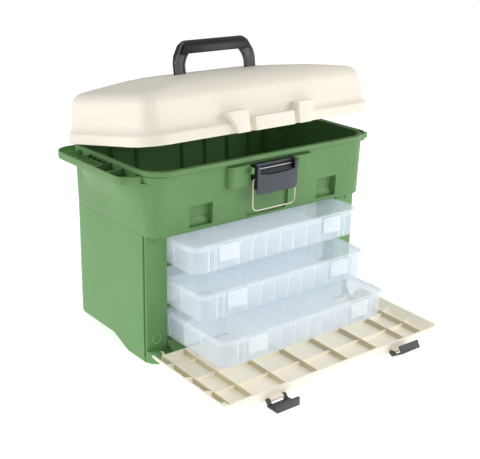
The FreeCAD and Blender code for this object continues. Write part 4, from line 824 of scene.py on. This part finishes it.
def build_tray(tray):
    fy, fz = TRAYS[tray]

    def at(x, y, z):
        return (x, y + fy, z + fz)

    def R(w, d, r, z, cy=106.5):
        return [(x, y, z) for x, y in rr(w, d, r, cy=cy, n=8)]
    # base: rounded foot, drafted walls, open top
    rings = [R(340, 196, 13, 0.0), R(344, 200, 15, 0.4), R(346.2, 202.2, 16, 1.6), R(346.8, 202.8, 16.4, 3.4), R(348.2, 204.4, 17, 30.0), R(348.8, 205.4, 17.4, 45.0), R(348.8, 205.4, 17.4, 47.4),
             R(345.6, 202.2, 15.8, 47.4), R(345.2, 201.6, 15.6, 44.0), R(344.6, 200.8, 15.2, 30.0), R(343.2, 199.2, 14.6, 5.0), R(340.6, 196.6, 13.4, 2.6), R(335, 191, 11, 2.0)]
    base = paint(smooth(to_object(Geo().loft(rings).map(at), "base"), 30), CLEAR)
    ribs = Geo()
    # paired ribs on the front wall, where the dividers slot in
    for k in range(-5, 6):
        cx = k * 29.0
        if not 84 < abs(cx) < 136:
            ribs.prism([(3.4, 40.5), (4.6, 2.0), (6.6, 2.0), (6.0, 40.5)], cx - 0.9, cx + 0.9, "x")
        for dx in (-1.9, 1.9):
            ribs.prism([(9.8, 2.5), (8.2, 2.5), (5.6, 44), (8.6, 44)], cx + dx - 0.5, cx + dx + 0.5, "x")
            ribs.prism([(104.2, 2.5), (107.8, 2.5), (107.0, 44), (105.0, 44)], cx + dx - 0.5, cx + dx + 0.5, "x")
    for k in range(-2, 3):
        for dx in (-1.9, 1.9):
            ribs.prism([(205.4, 2.5), (203.2, 2.5), (204.6, 44), (207.0, 44)], k * 58 + dx - 0.5, k * 58 + dx + 0.5, "x")
    # upright ridges on the end walls
    for s in (-1, 1):
        for y in (150.0, 106.5, 60.0):
            ribs.prism([(s * 171.2, 2.2), (s * 172.6, 2.2), (s * 174.9, 39.0), (s * 173.0, 39.0)], y - 1.1, y + 1.1, "y")
    for s in (-1, 1):
        for x in (85.5, 89.0, 131.0, 134.5):
            ribs.prism([(3.2, 40.5), (4.4, 2.0), (6.2, 2.0), (5.8, 40.5)], s * x - 0.7, s * x + 0.7, "x")
    ribs.box(-171.5, 171.5, 105.6, 107.4, 1.5, 44.0)
    for s in (-1, 1):
        ribs.box(s * 110 - 15, s * 110 + 15, 3.0, 5.0, 25.5, 27.5)
    rb = paint(soften(to_object(ribs.map(at), "ribs"), 0.25, 1), CLEAR_RIB)
    b = join("tray_%s_base_look" % tray, [base, rb])
    place(b, "tray_" + tray, "clear_plastic", "tray_%s_base" % tray)
    # lid: skirt with a rolled shoulder, a raised border and a panel set slightly in
    rings = [R(300, 150, 6, 47.0), R(329.0, 186.0, 9, 47.0), R(332.0, 189.0, 10.5, 48.0), R(344, 201, 13, 48.1), R(350.4, 207.4, 16.2, 47.2), R(352.6, 209.6, 17.2, 45.2), R(352.4, 209.4, 17.2, 40.0),
             R(352.8, 209.8, 17.3, 39.2), R(354.6, 211.6, 18.2, 39.0), R(355.6, 212.6, 18.8, 39.5), R(356, 213, 19, 41.0), R(356, 213, 19, 45.2), R(355.0, 212.0, 18.5, 47.6), R(352.4, 209.4, 17.2, 49.2),
             R(348.8, 205.8, 15.6, 50.0), R(335, 192, 11.5, 50.0), R(331.6, 188.6, 10.6, 49.6), R(330.0, 187.0, 10.0, 48.8), R(327.0, 184.0, 9, 48.6), R(300, 150, 6, 48.6)]
    lid = paint(smooth(to_object(Geo().loft(rings).map(at), "lid"), 30), CLEAR_LID)
    for s in (-1, 1):
        cx = s * 110
        boolean(lid, Geo().box(cx - 20.5, cx + 20.5, -2, 2.6, 37, 46.8).map(at))
    smooth(lid, 30)
    if not lid.data.materials:
        paint(lid, CLEAR_LID)
    l = join("tray_%s_lid_look" % tray, [lid])
    place(l, "tray_" + tray, "clear_plastic", "tray_%s_lid" % tray)
    # dividers
    dv = Geo()
    spots = [(x * 29.0, 8.4, 105.2) for x in (-3, -2, -1, 0, 1, 2, 3)] + [(x * 58.0, 107.8, 204.6) for x in (-2, -1, 0, 1, 2)]
    for x, ya, yb in spots:
        lo, hi = (0.0, 1.6) if ya < 50 else (0.2, 1.4)
        dv.prism([(ya, 2.1), (yb, 2.1), (yb, 40.0), (yb - 4, 41.0), (ya + 4, 41.0), (ya, 40.0)], x - 0.7, x + 0.7, "x")
    d = paint(soften(to_object(dv.map(at), "tray_%s_dividers_look" % tray), 0.2, 1), CLEAR_RIB)
    place(d, "tray_" + tray, "clear_plastic", "tray_%s_dividers" % tray)
    for side, s in (("left", -1), ("right", 1)):
        cx = s * 110
        t = Geo()
        tab = [(-0.2, 44.8), (-1.4, 45.0), (-2.0, 43.6), (-1.7, 36.0), (-2.2, 30.0), (-2.4, 24.0), (-3.2, 19.6), (-3.4, 18.2), (-1.6, 18.0), (-0.6, 21.0), (0.2, 28), (1.5, 28.4), (1.5, 29.4), (0.2, 29.8), (0.2, 42.0), (0.9, 43.4)]
        t.prism(tab, cx - 18.5, cx + 18.5, "x")
        o = soften(to_object(t.map(at), "tray_%s_latch_%s_look" % (tray, side)), 0.4, 2)
        paint(o, CLEAR_TAB)
        place(o, "tray_%s_clip_%s" % (tray, side), "clear_plastic", "tray_%s_latch_%s" % (tray, side))


build_case()
build_bin()
build_lid()
build_handle()
build_lever()
build_bail()
build_door()
build_door_latch("left")
build_door_latch("right")
for t in TRAYS:
    build_tray(t)

# carried-over pins and rivets
for node, mat in (("lid_hinge_rod", STEEL), ("handle_pins", STEEL), ("main_latch_pin", STEEL), ("door_hinge_pins", STEEL),
                  ("door_latch_pins", STEEL), ("case_rivets", GREEN)):
    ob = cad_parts[node]
    if not ob.material_slots:
        ob.data.materials.append(mat)
    for sl in ob.material_slots:
        sl.link = "OBJECT"
        sl.material = mat

# ============================================================ floor and light
fm = bpy.data.materials.new("pale_floor")
fm.use_nodes = True
nt = fm.node_tree
b = nt.nodes["Principled BSDF"]
tc = nt.nodes.new("ShaderNodeTexCoord").outputs["Object"]
nt.links.new(ramp(nt, noise_tex(nt, tc, 3.0), [(0.3, (0.93, 0.93, 0.93)), (0.7, (0.95, 0.95, 0.95))]), b.inputs["Base Color"])
b.inputs["Roughness"].default_value = 0.9
b.inputs["Specular IOR Level"].default_value = 0.1
b.inputs["Emission Color"].default_value = (1, 1, 1, 1)
b.inputs["Emission Strength"].default_value = 0.62
n = 64
fl = bpy.data.meshes.new("studio_floor")
fl.from_pydata([(14 * math.cos(2 * math.pi * i / n), 14 * math.sin(2 * math.pi * i / n), 0.0) for i in range(n)], [], [list(range(n))])
floor = bpy.data.objects.new("studio_floor", fl)
bpy.context.scene.collection.objects.link(floor)
fl.materials.append(fm)

w = bpy.context.scene.world or bpy.data.worlds.new("studio")
bpy.context.scene.world = w
w.use_nodes = True
bg = w.node_tree.nodes["Background"]
bg.inputs["Color"].default_value = (1.0, 1.0, 1.0, 1)
bg.inputs["Strength"].default_value = 0.43


def area(name, loc, target, size, power, colour=(1, 1, 1), size_y=None):
    l = bpy.data.lights.new(name, "AREA")
    l.energy, l.color = power, colour
    l.shape = "RECTANGLE"
    l.size, l.size_y = size, size_y or size
    o = bpy.data.objects.new(name, l)
    o.location = loc
    d = Vector(target) - Vector(loc)
    o.rotation_euler = d.to_track_quat("-Z", "Y").to_euler()
    bpy.context.scene.collection.objects.link(o)
    return o


area("key", (1.7, -2.0, 1.5), (0, -0.1, 0.2), 1.5, 31, (1.0, 0.985, 0.965))
area("fill_left", (-2.3, 0.9, 1.1), (0, 0, 0.2), 1.5, 20, (0.985, 1.0, 0.985))
area("top", (0.0, 0.2, 2.6), (0, 0, 0.3), 2.0, 2.5)

# ===================================================================== camera
yaw, pitch, roll = math.radians(38.7), math.radians(19.6), math.radians(1.2)
F = Vector((math.sin(yaw) * math.cos(pitch), math.cos(yaw) * math.cos(pitch), -math.sin(pitch)))
R = Vector((math.cos(yaw), -math.sin(yaw), 0))
U = R.cross(F)
R2 = R * math.cos(roll) + U * math.sin(roll)
U2 = -R * math.sin(roll) + U * math.cos(roll)
cam = bpy.data.cameras.new("camera")
cam.sensor_fit = "HORIZONTAL"
cam.sensor_width = 36.0
cam.lens = 949.1 * 36.0 / 480.0
cam.clip_start, cam.clip_end = 0.05, 60
co = bpy.data.objects.new("camera", cam)
m = Matrix.Identity(4)
for i in range(3):
    m[i][0], m[i][1], m[i][2] = R2[i], U2[i], -F[i]
m.translation = Vector((-962.0, -1256.1, 718.0)) * MM
co.matrix_world = m
bpy.context.scene.collection.objects.link(co)
bpy.context.scene.camera = co

bpy.context.scene.view_settings.view_transform = "Standard"
bpy.context.scene.view_settings.look = "None"
